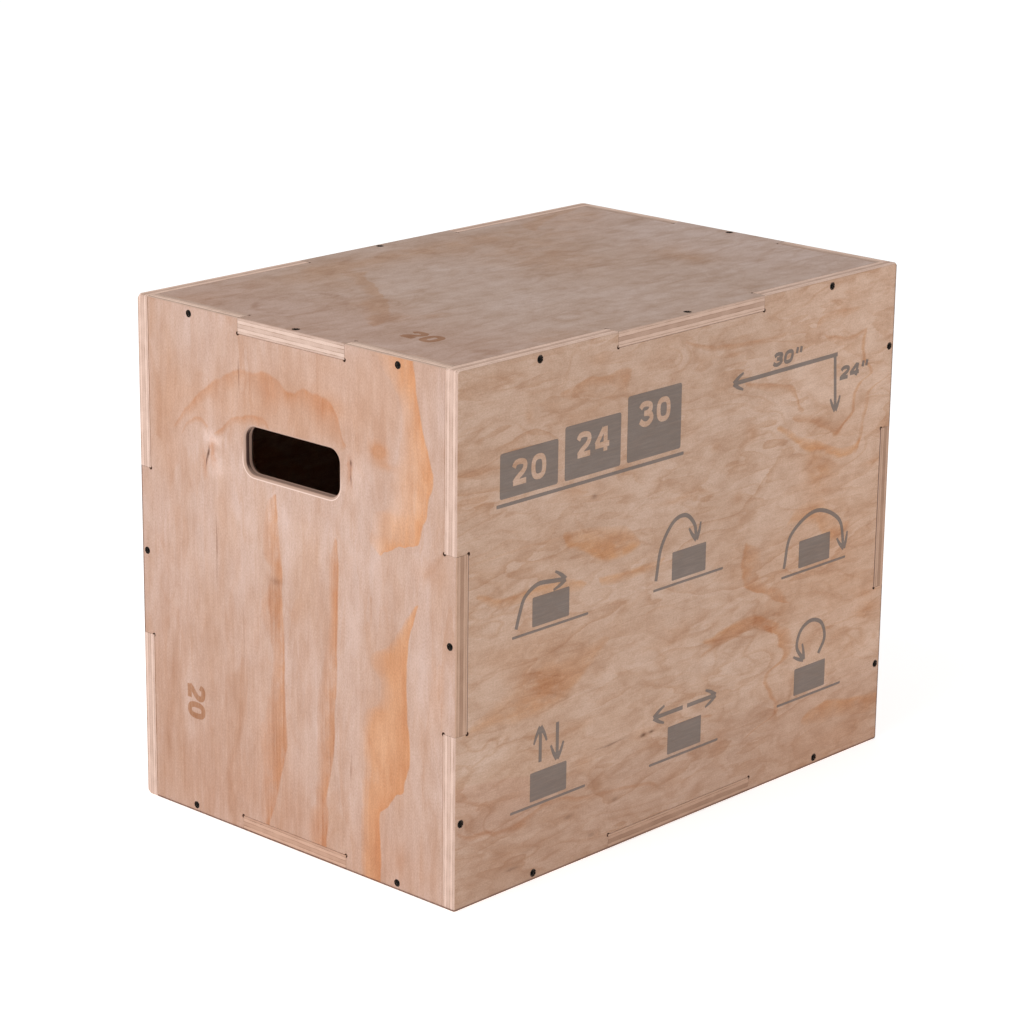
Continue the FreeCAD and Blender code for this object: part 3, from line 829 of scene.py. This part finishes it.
def laid_over(name, sheet, coat):
    """Copy of a panel's finish with a coat on its veneer."""
    material = sheet.copy()
    material.name = name
    tree = material.node_tree
    veneer_slot = tree.nodes["face_or_edge"].inputs[6]
    veneer = Field(tree, veneer_slot.links[0].from_socket)
    fibre = Field(tree, tree.nodes["fibre"].outputs[0])
    join(veneer_slot, coat(veneer, fibre))
    return material


FRONT_CUT = ((0.900, 0.655, 0.538), (0.738, 0.537, 0.452))
END_CUT = ((0.610, 0.388, 0.276), (0.990, 0.738, 0.610))
TOP_CUT = ((0.755, 0.528, 0.418), (0.710, 0.528, 0.446))
BOTTOM_CUT = ((0.570, 0.356, 0.251), (0.600, 0.380, 0.280))
FRONT_SEED, LEFT_SEED, LEVEL_SEED, BRACE_SEED = 2.0, 5.0, 87.0, 131.0
front_veneer = plywood("front_veneer", Y_AXIS, -WIDTH / 2, -1, X_AXIS, FRONT_SEED, BROWN, FRONT_CUT,
                       LONG_RINGS, front_figure, FRONT_HILLS,
                       shaded_arrises=((Z_AXIS, 0.0, 1), (X_AXIS, LENGTH / 2, -1)))
left_veneer = plywood("left_end_veneer", X_AXIS, -LENGTH / 2, -1, Z_AXIS, LEFT_SEED, PEACH, END_CUT,
                      END_RINGS, left_figure, slot=True,
                      shaded_arrises=((Z_AXIS, 0.0, 1), (Y_AXIS, WIDTH / 2, -1)))
level_sheet = plywood("level_sheet", Z_AXIS, HEIGHT, 1, X_AXIS, LEVEL_SEED, GREY, TOP_CUT,
                      TOP_RINGS, top_figure, TOP_HILLS, shaded_arrises=((Z_AXIS, HEIGHT, -1),))
top_veneer = turned_sheet("top_veneer", level_sheet, (1, 1, 1), GREY, TOP_CUT)
panel_finishes = {
    "front_panel": front_veneer,
    "back_panel": turned_sheet("back_veneer", front_veneer, (1, -1, -1), BROWN, FRONT_CUT),
    "left_end_panel": left_veneer,
    "right_end_panel": turned_sheet("right_end_veneer", left_veneer, (-1, 1, -1), PEACH, END_CUT),
    "top_panel": top_veneer,
    "bottom_panel": turned_sheet("bottom_veneer", level_sheet, (1, -1, -1), BROWN, BOTTOM_CUT,
                                 arrises_shaded=True),
    "centre_brace": plywood("brace_veneer", X_AXIS, PANEL / 2, 1, Z_AXIS, BRACE_SEED, GREY, BOTTOM_CUT,
                            END_RINGS, no_figure),
}


def black_screw():
    """Black phosphate coating: near black, a little worn to grey."""
    material, tree, shader = new_finish("black_phosphate")
    x, y, z = place_on(tree)
    wear = noise(x / 0.9, y / 0.9, z / 0.9, 3.0)
    colour = blended(*SCREW_BLACKS, (wear * 2.0 + 0.1).clamped())
    tree.links.new(colour.socket, shader.inputs["Base Color"])
    join(shader.inputs["Roughness"], 0.65 + wear * 0.3)
    shader.inputs["Specular IOR Level"].default_value = 0.2
    return material


def painted_hole_shade():
    """Near-black painted shade at the rim of a screw hole, where the hole falls into shadow, a little
    blotchy.
    """
    material, tree, shader = new_finish("hole_shade_rim")
    x, y, z = place_on(tree)
    blotch = noise(x / 0.7, y / 0.7, z / 0.7, 3.0)
    colour = blended(*HOLE_SHADE_BLACKS, (blotch * 1.6 + 0.2).clamped())
    tree.links.new(colour.socket, shader.inputs["Base Color"])
    join(shader.inputs["Roughness"], 0.8 + blotch * 0.3)
    return material


screw_coat = black_screw()
hole_shade_coat = painted_hole_shade()
for node_name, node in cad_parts.items():
    node.data.materials.clear()
    node.data.materials.append(panel_finishes.get(node_name, screw_coat))


# Meshes


def new_piece(name, points, faces, material, smooth=False):
    """Mesh object at the origin from whole arrays of points in millimetres and of face corners."""
    mesh = bpy.data.meshes.new(name)
    corners = np.concatenate([np.asarray(block).ravel() for block in faces])
    sizes = np.concatenate([np.full(len(block), np.asarray(block).shape[1]) for block in faces])
    mesh.vertices.add(len(points))
    mesh.vertices.foreach_set("co", (np.asarray(points) * MM).ravel().astype(np.float32))
    mesh.loops.add(len(corners))
    mesh.loops.foreach_set("vertex_index", corners.astype(np.int32))
    mesh.polygons.add(len(sizes))
    mesh.polygons.foreach_set("loop_start", np.concatenate([[0], np.cumsum(sizes)[:-1]]).astype(np.int32))
    mesh.polygons.foreach_set("use_smooth", np.full(len(sizes), smooth))
    mesh.update(calc_edges=True)
    mesh.validate()
    mesh.materials.append(material)
    piece = bpy.data.objects.new(name, mesh)
    bpy.context.scene.collection.objects.link(piece)
    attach(piece, "root")
    return piece


def grid_faces(rows, columns, around, closed_rows=False):
    """Quads between neighbouring rows of a grid, joined round in columns and, if asked, in rows."""
    row = np.arange(rows if closed_rows else rows - 1)[:, None]
    column = np.arange(columns if around else columns - 1)[None, :]
    after = (row + 1) % rows
    beside = (column + 1) % columns
    quads = [row * columns + column, row * columns + beside, after * columns + beside,
             after * columns + column]
    return np.stack(np.broadcast_arrays(*quads), -1).reshape(-1, 4)


# Screws


def screw_groups():
    """Screw places by node: the panel they go through, its outward direction and points on its face."""
    along_x = LENGTH / 2 - LONG_ROW_INSET
    along_y = WIDTH / 2 - SHORT_ROW_INSET
    along_z = HEIGHT / 2 - TALL_ROW_INSET
    rim_x = LENGTH / 2 - PANEL / 2
    rim_y = WIDTH / 2 - PANEL / 2
    low, middle, high = PANEL / 2, HEIGHT / 2, HEIGHT - PANEL / 2
    groups = {}
    for side, sy in (("front", -1), ("back", 1)):
        y = sy * WIDTH / 2
        rows = {"top": [(-along_x, y, high), (along_x, y, high)],
                "bottom": [(-along_x, y, low), (along_x, y, low)]}
        for end, sx in (("left", -1), ("right", 1)):
            rows[end] = [(sx * rim_x, y, middle - along_z), (sx * rim_x, y, middle + along_z)]
        if side == "front":
            rows["left"].pop()
        groups.update({(side, edge): ((0, sy, 0), points) for edge, points in rows.items()})
    for end, sx in (("left", -1), ("right", 1)):
        x = sx * LENGTH / 2
        rows = {"top": [(x, -along_y, high), (x, along_y, high)],
                "bottom": [(x, -along_y, low), (x, along_y, low)],
                "front": [(x, -rim_y, middle)], "back": [(x, rim_y, middle)]}
        groups.update({(end, edge): ((sx, 0, 0), points) for edge, points in rows.items()})
    for level, z, sz in (("bottom", 0.0, -1), ("top", HEIGHT, 1)):
        rows = {"front": [(0, -rim_y, z)], "back": [(0, rim_y, z)], "left": [(-rim_x, 0, z)],
                "right": [(rim_x, 0, z)]}
        groups.update({(level, edge): ((0, 0, sz), points) for edge, points in rows.items()})
    return groups


def set_round(radius, height, turn, outward, points, turns):
    """Rings of radius, height and turn, set along the outward axis at each point, with its own turn."""
    axis = np.array(outward, float)
    side = np.roll(axis, 1)
    up = np.cross(axis, side)
    angle = turn[None] + np.asarray(turns)[:, None, None]
    spread = radius[None, ..., None] * (np.cos(angle)[..., None] * side + np.sin(angle)[..., None] * up)
    return np.asarray(points, float)[:, None, None, :] + spread + height[None, ..., None] * axis


def copied_faces(faces, count, stride):
    """The same faces for each of several equal blocks of points."""
    shift = (np.arange(count) * stride)[:, None, None]
    return (np.asarray(faces)[None] + shift).reshape(-1, np.asarray(faces).shape[1])


ARM_HALF, ARM_WALL = 0.75, 0.3
ARM_REACH, ARM_END = 2.3, 0.7
RECESS_DEPTH = 1.7
THREAD_TOP = -17.0
THREAD_PITCH = 2.1
CORE_RADIUS = 1.45
NECK_RADIUS = SHANK_RADIUS - 0.25
HEAD_EDGE = 0.2


def recess_arm(beside, along):
    """One arm of the cross, from 0 outside to 1 on its floor: its walls and ends slope."""
    walls = np.clip((ARM_HALF - np.abs(beside)) / ARM_WALL, 0, 1)
    ends = np.clip((ARM_REACH - np.abs(along)) / ARM_END, 0, 1)
    return walls * ends


def cross_recess(x, y):
    """Depth of a driver's cross: the deeper of two arms at right angles."""
    return RECESS_DEPTH * np.maximum(recess_arm(x, y), recess_arm(y, x))


def screw_rings(columns=32):
    """Radius and height of a wood screw by ring and turn: recessed head, cone, shank, helical thread, point.

    The thread is a ridge by the height over the pitch less the turn, that grows out of the core and runs
    out at the tip.
    """
    turn = np.linspace(0, 2 * np.pi, columns, endpoint=False)
    face_r = np.linspace(0.12, HEAD_RADIUS - HEAD_EDGE, 15)
    neck = HEAD_TOP - (HEAD_RADIUS - SHANK_RADIUS)
    tip = HEAD_TOP - SCREW_LENGTH
    thread_z = np.linspace(THREAD_TOP, tip + 0.3, 100)
    radii = np.concatenate([face_r, [HEAD_RADIUS, SHANK_RADIUS, NECK_RADIUS, NECK_RADIUS], thread_z * 0])
    heights = np.concatenate([face_r * 0 + HEAD_TOP,
                              [HEAD_TOP - HEAD_EDGE, neck, neck - 0.6, THREAD_TOP + 0.4], thread_z])
    radius = np.repeat(radii[:, None], columns, 1)
    height = np.repeat(heights[:, None], columns, 1)
    heads = len(face_r)
    height[:heads] -= cross_recess(face_r[:, None] * np.cos(turn), face_r[:, None] * np.sin(turn))
    share = (thread_z[:, None] / THREAD_PITCH - turn / (2 * np.pi)) % 1.0
    ridge = np.clip(1 - np.abs(share - 0.5) / 0.3, 0, 1)
    taper = np.clip((thread_z[:, None] - tip) / TIP_LENGTH, 0.02, 1)
    start = np.clip((THREAD_TOP - thread_z[:, None]) / THREAD_PITCH, 0, 1)
    radius[-len(thread_z):] = (CORE_RADIUS + (SHANK_RADIUS - CORE_RADIUS) * ridge * start) * taper
    return radius, height, np.repeat(turn[None], len(radii), 0)


def drive_screws(name, outward, points, first):
    """Screws of one row: their rings joined round, and closed by a point in the head and at the tip."""
    radius, height, turn = screw_rings()
    rows, columns = radius.shape
    turns = (first + np.arange(len(points))) * GOLDEN_TURN
    rings = set_round(radius, height, turn, outward, points, turns).reshape(len(points), -1, 3)
    axis = np.array(outward, float)
    ends = np.array([HEAD_TOP - cross_recess(0.0, 0.0), HEAD_TOP - SCREW_LENGTH])
    poles = np.asarray(points, float)[:, None, :] + ends[None, :, None] * axis
    stride = rows * columns + 2
    column = np.arange(columns)
    beside = (column + 1) % columns
    last = (rows - 1) * columns
    quads = grid_faces(rows, columns, True)[:, ::-1]
    caps = np.concatenate([np.stack([column, beside, column * 0 + rows * columns], 1),
                           np.stack([last + beside, last + column, column * 0 + rows * columns + 1], 1)])
    faces = [copied_faces(quads, len(points), stride), copied_faces(caps, len(points), stride)]
    body = np.concatenate([rings, poles], 1).reshape(-1, 3)
    return new_piece(name, body, faces, screw_coat, True)


END_RIM_SPREAD = 0.5
RIM_COLUMNS = 40
RAGGED_FROM = 4.3
RIM_WAVES = ((0.07, 3, 1), (0.06, 7, 0), (0.05, 12, 2))
SEAT_PROFILE = (
    (4.04, -1.90), (4.60, -0.20), (4.66, 0.02), (4.90, 0.05), (5.30, 0.03), (5.60, -0.05), (5.50, -0.40),
    (4.90, -1.90))
RIM_PROFILE = (
    (4.04, -1.95), (4.05, -0.90), (4.10, -0.35), (4.20, -0.05), (4.35, 0.06), (4.55, 0.08), (4.70, 0.04),
    (4.74, -0.05), (4.60, -0.50), (4.40, -1.95))


def seat_ring(name, outward, points, section, material, spread):
    """Rims of a panel's screw holes: a closed profile carried round each hole, ragged by three waves.

    spread scales the rim's breadth round the screw's head.
    """
    turn = np.repeat(np.linspace(0, 2 * np.pi, RIM_COLUMNS, endpoint=False)[None], len(section), 0)
    profile = np.array(section)
    wave = sum(high * np.sin(count * turn + shift) for high, count, shift in RIM_WAVES)
    loose = np.clip(profile[:, 1] + 1.0, 0, 1)[:, None] * (profile[:, 0] > RAGGED_FROM)[:, None]
    radius = section[0][0] + (profile[:, :1] - section[0][0] + np.abs(wave) * loose) * spread
    height = np.repeat(profile[:, 1:], RIM_COLUMNS, 1)
    turns = np.arange(len(points)) * GOLDEN_TURN
    rings = set_round(radius, height, turn, outward, points, turns)
    quads = grid_faces(len(profile), RIM_COLUMNS, True, True)[:, ::-1]
    faces = copied_faces(quads, len(points), len(profile) * RIM_COLUMNS)
    return new_piece(name, rings.reshape(-1, 3), [faces], material, True)


seat_points = {}
for number, ((panel_face, panel_edge), (way, spots)) in enumerate(screw_groups().items()):
    node_name = panel_face + "_" + panel_edge + ("_screws" if len(spots) > 1 else "_screw")
    row = drive_screws(node_name + "_threaded", way, spots, 2 * number)
    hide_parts(node_name)
    seat_points.setdefault((panel_face, way), []).extend(spots)
for (panel_face, way), spots in seat_points.items():
    panel_name = panel_face + ("_end_panel" if panel_face in ("left", "right") else "_panel")
    breadth = END_RIM_SPREAD if panel_face in ("left", "right") else 1.0
    seat_ring(panel_face + "_screw_seats", way, spots, SEAT_PROFILE, panel_finishes[panel_name], breadth)
    # Near-black rims round the holes: painted shade
    seat_ring(panel_face + "_hole_shade_rims", way, spots, RIM_PROFILE, hole_shade_coat, breadth)


# Print and burnt numbers: ribbons of thin rectangular profile carried along drawn lines

INK_RISE = 0.12
INK_SINK = 0.30
STROKE_STEP = 0.002
STROKE_LEVELS = 7
BARB_WIDTHS = (1.25, 0.55)
BARB_BEND = (0.42, 0.36)
BARB_TIP = 0.3
WING_SPREAD = 0.62


def smooth_line(points, pieces=10, closed=False):
    """Cubic curve through drawn points, its slope at each half the step between the two beside it."""
    spots = np.asarray(points, float)
    if closed:
        spots = np.concatenate([spots[-1:], spots, spots[:2]])
    else:
        spots = np.concatenate([2 * spots[:1] - spots[1:2], spots, 2 * spots[-1:] - spots[-2:-1]])
    share = np.linspace(0, 1, pieces, endpoint=False)[None, :, None]
    a, b, c, d = (spots[k:len(spots) - 3 + k, None, :] for k in range(4))
    second = 2 * a - 5 * b + 4 * c - d
    third = 3 * b - a - 3 * c + d
    line = 0.5 * (2 * b + (c - a) * share + second * share ** 2 + third * share ** 3)
    line = line.reshape(-1, 2)
    return line if closed else np.concatenate([line, spots[-2:-1]])


def straight_line(start, stop, pieces=8):
    """Evenly spaced points from start to stop."""
    share = np.linspace(0, 1, pieces + 1)[:, None]
    return (1 - share) * np.asarray(start, float) + share * np.asarray(stop, float)


def bar(start, stop, width, rounding):
    """Filled bar from start to stop: its width swells over each end as a circle of the rounding does."""
    length = math.dist(start, stop)
    bite = rounding * (1 - np.cos(np.linspace(0, np.pi / 2, 7)))
    places = np.concatenate([bite, (length - bite)[::-1]])
    line = straight_line(start, stop, 1)
    path = line[0] + (line[1] - line[0]) * (places / length)[:, None]
    near = np.minimum(places, length - places)
    short = rounding - np.minimum(near, rounding)
    widths = width - 2 * rounding + 2 * np.sqrt(np.maximum(rounding ** 2 - short ** 2, 0))
    return path, np.maximum(widths, 0.05), False


def pen(path, width, closed=False):
    """Stroke of even width along a path."""
    return path, np.full(len(path), float(width)), closed


def arrow(path, width, head):
    """Shaft along a path, with a swept-back head at its end: three strokes."""
    tip = path[-1]
    way = (path[-1] - path[-3]) / np.linalg.norm(path[-1] - path[-3])
    aside = np.array([-way[1], way[0]])
    barbs = []
    for turn in (1, -1):
        wing = tip - way * head + aside * turn * head * WING_SPREAD
        bend = tip - way * head * BARB_BEND[0] + aside * turn * head * BARB_BEND[1]
        barb = smooth_line([tip + way * width * BARB_TIP, bend, wing])
        barbs.append((barb, np.linspace(width * BARB_WIDTHS[0], width * BARB_WIDTHS[1], len(barb)),
                      False))
    return [pen(path, width), *barbs]


def ribbons(name, strokes, on_face, lift, material):
    """Thin ribbons on a face: along each path a rectangle as wide as the stroke, from under the face up."""
    points = []
    faces = []
    start = 0
    for number, (path, widths, closed) in enumerate(strokes):
        if closed:
            slope = np.roll(path, -1, 0) - np.roll(path, 1, 0)
        else:
            slope = np.gradient(path, axis=0)
        slope = slope / np.linalg.norm(slope, axis=1, keepdims=True)
        aside = np.stack([-slope[:, 1], slope[:, 0]], 1) * widths[:, None] / 2
        rise = np.full(len(path), lift + STROKE_STEP * (number % STROKE_LEVELS))
        sunk = np.full(len(path), -INK_SINK)
        corners = [(path + aside, rise), (path + aside, sunk), (path - aside, sunk), (path - aside, rise)]
        rings = np.stack([on_face(flat[:, 0], flat[:, 1], high) for flat, high in corners], 1)
        points.append(rings.reshape(-1, 3))
        faces.append(grid_faces(len(path), 4, True, closed) + start)
        if not closed:
            end = start + 4 * (len(path) - 1)
            faces.append(np.array([[start + 3, start + 2, start + 1, start],
                                   [end, end + 1, end + 2, end + 3]]))
        start += 4 * len(path)
    return new_piece(name, np.concatenate(points), faces, material)


def on_front(x, z, high):
    """Points of the front face from distance along, height and lift."""
    return np.stack([x - LENGTH / 2, -WIDTH / 2 - high, z], -1)


def on_left(y, z, high):
    """Points of the left end from distance behind the front edge, height and lift."""
    return np.stack([-LENGTH / 2 - high, y - WIDTH / 2, z], -1)


def on_top(x, y, high):
    """Points of the top from distance along, distance behind the front edge and lift."""
    return np.stack([x - LENGTH / 2, y - WIDTH / 2, HEIGHT + high], -1)


# A nought is an oval with its cosine and sine to a power; other signs are drawn in a cell of 1 by 1
O_SIZE = (0.36, 0.40)
O_POWER = 0.75
O_TURNS = np.linspace(0, 2 * np.pi, 16)[:-1]
ROUND_O = [(0.50 + O_SIZE[0] * math.copysign(abs(math.cos(turn)) ** O_POWER, math.cos(turn)),
            0.50 + O_SIZE[1] * math.copysign(abs(math.sin(turn)) ** O_POWER, math.sin(turn)))
           for turn in O_TURNS]
DIGITS = {
    "0": [("closed", ROUND_O)],
    "2": [("curve", [(0.10, 0.72), (0.24, 0.88), (0.52, 0.91), (0.80, 0.84), (0.85, 0.66), (0.70, 0.48),
                     (0.34, 0.28), (0.12, 0.10)]),
          ("line", [(0.06, 0.10), (0.92, 0.10)])],
    "3": [("curve", [(0.10, 0.76), (0.26, 0.89), (0.52, 0.91), (0.80, 0.83), (0.80, 0.64), (0.56, 0.53),
                     (0.36, 0.53)]),
          ("curve", [(0.50, 0.53), (0.82, 0.45), (0.88, 0.26), (0.66, 0.10), (0.36, 0.09),
                     (0.08, 0.24)])],
    "4": [("line", [(0.62, 0.95), (0.08, 0.33)]),
          ("line", [(0.02, 0.28), (0.98, 0.28)]),
          ("line", [(0.72, 1.0), (0.72, 0.0)])],
    "inch": [("line", [(0.20, 1.06), (0.20, 0.58)]), ("line", [(0.60, 1.06), (0.60, 0.58)])],
}


def number_strokes(signs, corner, digit_width, digit_height, gap, width, lean=0.0, turn=((1, 0), (0, 1))):
    """Strokes of a plain number: each sign's lines scaled to its cell, leaned, and laid on turned axes."""
    strokes = []
    for place, sign in enumerate(signs):
        for kind, points in DIGITS[sign]:
            spots = np.array(points) * (digit_width, digit_height)
            shift = np.stack([place * (digit_width + gap) + spots[:, 1] * lean, spots[:, 1] * 0], 1)
            spots = np.asarray(corner, float) + (spots + shift) @ np.array(turn, float)
            if kind == "line":
                strokes.append(pen(straight_line(*spots), width))
            else:
                strokes.append(pen(smooth_line(spots, 8, kind == "closed"), width, kind == "closed"))
    return strokes


# Signs of a number: width, height, gap and stroke, then a lean where there is one
SIZE_SIGNS = (18.0, 15.0, 2.0, 4.6, 0.25)
BAR_SIGNS = (24.0, 28.0, 6.0, 6.4)
LEFT_BURN_SIGNS = (19.0, 29.0, 3.0, 7.0)
TOP_BURN_SIGNS = (21.0, 28.0, 5.0, 8.6)
ink = laid_over("front_stencil_ink", front_veneer, inked)

# Length and height of the printed face, with their arrows
size_arrows = arrow(straight_line((650.5, 515.5), (458, 514)), 5.0, 16.0)
size_arrows += arrow(straight_line((645.5, 518), (650, 448)), 5.0, 15.0)
ribbons("size_arrows", size_arrows, on_front, INK_RISE, ink)
size_numbers = number_strokes(("3", "0", "inch"), (526, 521.5), *SIZE_SIGNS)
size_numbers += number_strokes(("2", "4", "inch"), (655, 483.0), *SIZE_SIGNS)
ribbons("size_numbers", size_numbers, on_front, INK_RISE, ink)

# Three bars as high as the box can stand, with their heights left bare
BAR_SCALE = 2.55
FIRST_BAR, BAR_PITCH = 112, 103
BAR_FOOT, BAR_WIDTH, BAR_ROUND = 456, 92, 3.0
BAR_LINE_FROM, BAR_LINE_TO = (61, 449), (370, 449)
NUMBER_OFF = (-27, -39)
BARE_LIFT = 0.03
bars = []
bare_numbers = []
for place, (first, second, inches) in enumerate((("2", "0", 20), ("2", "4", 24), ("3", "0", 30))):
    middle = FIRST_BAR + BAR_PITCH * place
    top = BAR_FOOT + BAR_SCALE * inches
    bars.append(bar((middle, BAR_FOOT), (middle, top), BAR_WIDTH, BAR_ROUND))
    bare_numbers += number_strokes((first, second), (middle + NUMBER_OFF[0], top + NUMBER_OFF[1]),
                                   *BAR_SIGNS)
bars.append(bar(BAR_LINE_FROM, BAR_LINE_TO, 4.0, 1.0))
ribbons("height_bars", bars, on_front, INK_RISE, ink)
ribbons("bare_height_numbers", bare_numbers, on_front, INK_RISE + BARE_LIFT, front_veneer)


BLOCK_WIDTH, BLOCK_HEIGHT, BLOCK_ROUND = 60, 34, 1.5
GROUND_HALF, GROUND_DROP = 62, 5


def block(middle, ground):
    """Filled block on a ground line, as a sign for the box."""
    level = ground - GROUND_DROP
    return [bar((middle, ground), (middle, ground + BLOCK_HEIGHT), BLOCK_WIDTH, BLOCK_ROUND),
            bar((middle - GROUND_HALF, level), (middle + GROUND_HALF, level), 3, 1)]


def over_block(middle, ground, points):
    """Smooth path by a block, from its own middle and ground."""
    return smooth_line(np.asarray(points, float) + (middle, ground), 12)


ARROW, ARROW_HEAD = 5.0, 17.0
signs = {
    "step_sign": (150, 300, [[(-56, 4), (-50, 22), (-42, 38), (-22, 48), (4, 46), (22, 44)]]),
    "jump_sign": (385, 300, [[(-58, 6), (-50, 44), (-30, 70), (-8, 74), (8, 60), (12, 42)]]),
    "over_sign": (620, 262, [[(-58, 6), (-46, 46), (0, 66), (46, 46), (58, 8)]]),
    "press_sign": (150, 95, [[(-14, 44), (-14, 58), (-14, 70), (-14, 84)],
                             [(14, 84), (14, 70), (14, 58), (14, 42)]]),
    "side_sign": (385, 88, [[(-4, 52), (-20, 52), (-36, 52), (-54, 52)],
                            [(4, 52), (20, 52), (36, 52), (54, 52)]]),
    "turn_sign": (620, 100, [[(16, 44), (27, 62), (20, 82), (0, 90), (-20, 82), (-27, 62), (-14, 44)]]),
}
for sign_name, (middle, ground, paths) in signs.items():
    strokes = block(middle, ground)
    for path in paths:
        strokes += arrow(over_block(middle, ground, path), ARROW, ARROW_HEAD)
    ribbons(sign_name, strokes, on_front, INK_RISE, ink)

# Height of the box as it lies, burnt into the left end and the top
BURN_RISE = 0.04
left_burn = number_strokes(("2", "0"), (432, 159), *LEFT_BURN_SIGNS, turn=((0, -1), (-1, 0)))
ribbons("left_burnt_number", left_burn, on_left, BURN_RISE, laid_over("left_burn", left_veneer, scorched))
top_burn = number_strokes(("2", "0"), (69, 155), *TOP_BURN_SIGNS, turn=((0, -1), (1, 0)))
ribbons("top_burnt_number", top_burn, on_top, BURN_RISE, laid_over("top_burn", top_veneer, scorched))


# Stage, in metres

FLOOR_HALF = 20.0
FLOOR_UNDER = -0.0006
FLOOR_WHITES = ((0.90, 0.90, 0.90), (0.86, 0.86, 0.86))
FLOOR_GLOW = 0.64
ROOM_GLOW = 0.44
WHITE = (1.0, 1.0, 1.0, 1.0)
SOFT_BOX = dict(place=(-3.0, 0.7, 3.1), aim=(0.0, 0.0, 0.3), width=3.6, height=3.6, power=90.0)


def pale_floor():
    """White studio floor, faintly mottled, with a glow that keeps it white round the box."""
    material, tree, shader = new_finish("studio_floor")
    x, y, z = place_on(tree)
    mottle = noise(x / 900, y / 900, z, 2.0)
    colour = blended(*FLOOR_WHITES, (mottle + 0.5).clamped())
    tree.links.new(colour.socket, shader.inputs["Base Color"])
    shader.inputs["Roughness"].default_value = 0.9
    shader.inputs["Specular IOR Level"].default_value = 0.1
    shader.inputs["Emission Color"].default_value = WHITE
    shader.inputs["Emission Strength"].default_value = FLOOR_GLOW
    return material


def lay_floor():
    """Flat square floor just under the box."""
    mesh = bpy.data.meshes.new("floor")
    corners = [(x * FLOOR_HALF, y * FLOOR_HALF, FLOOR_UNDER) for x,
               y in ((-1, -1), (1, -1), (1, 1), (-1, 1))]
    mesh.from_pydata(corners, [], [(0, 1, 2, 3)])
    floor = bpy.data.objects.new("floor", mesh)
    mesh.materials.append(pale_floor())
    bpy.context.scene.collection.objects.link(floor)


def light_room():
    """Even white surround, with one large soft box high on the left."""
    world = bpy.data.worlds.new("studio")
    world.use_nodes = True
    world.node_tree.nodes["Background"].inputs["Color"].default_value = WHITE
    world.node_tree.nodes["Background"].inputs["Strength"].default_value = ROOM_GLOW
    bpy.context.scene.world = world
    soft_box("left_soft_box", **SOFT_BOX)
    bpy.context.scene.view_settings.view_transform = "Standard"


set_camera()
lay_floor()
light_room()
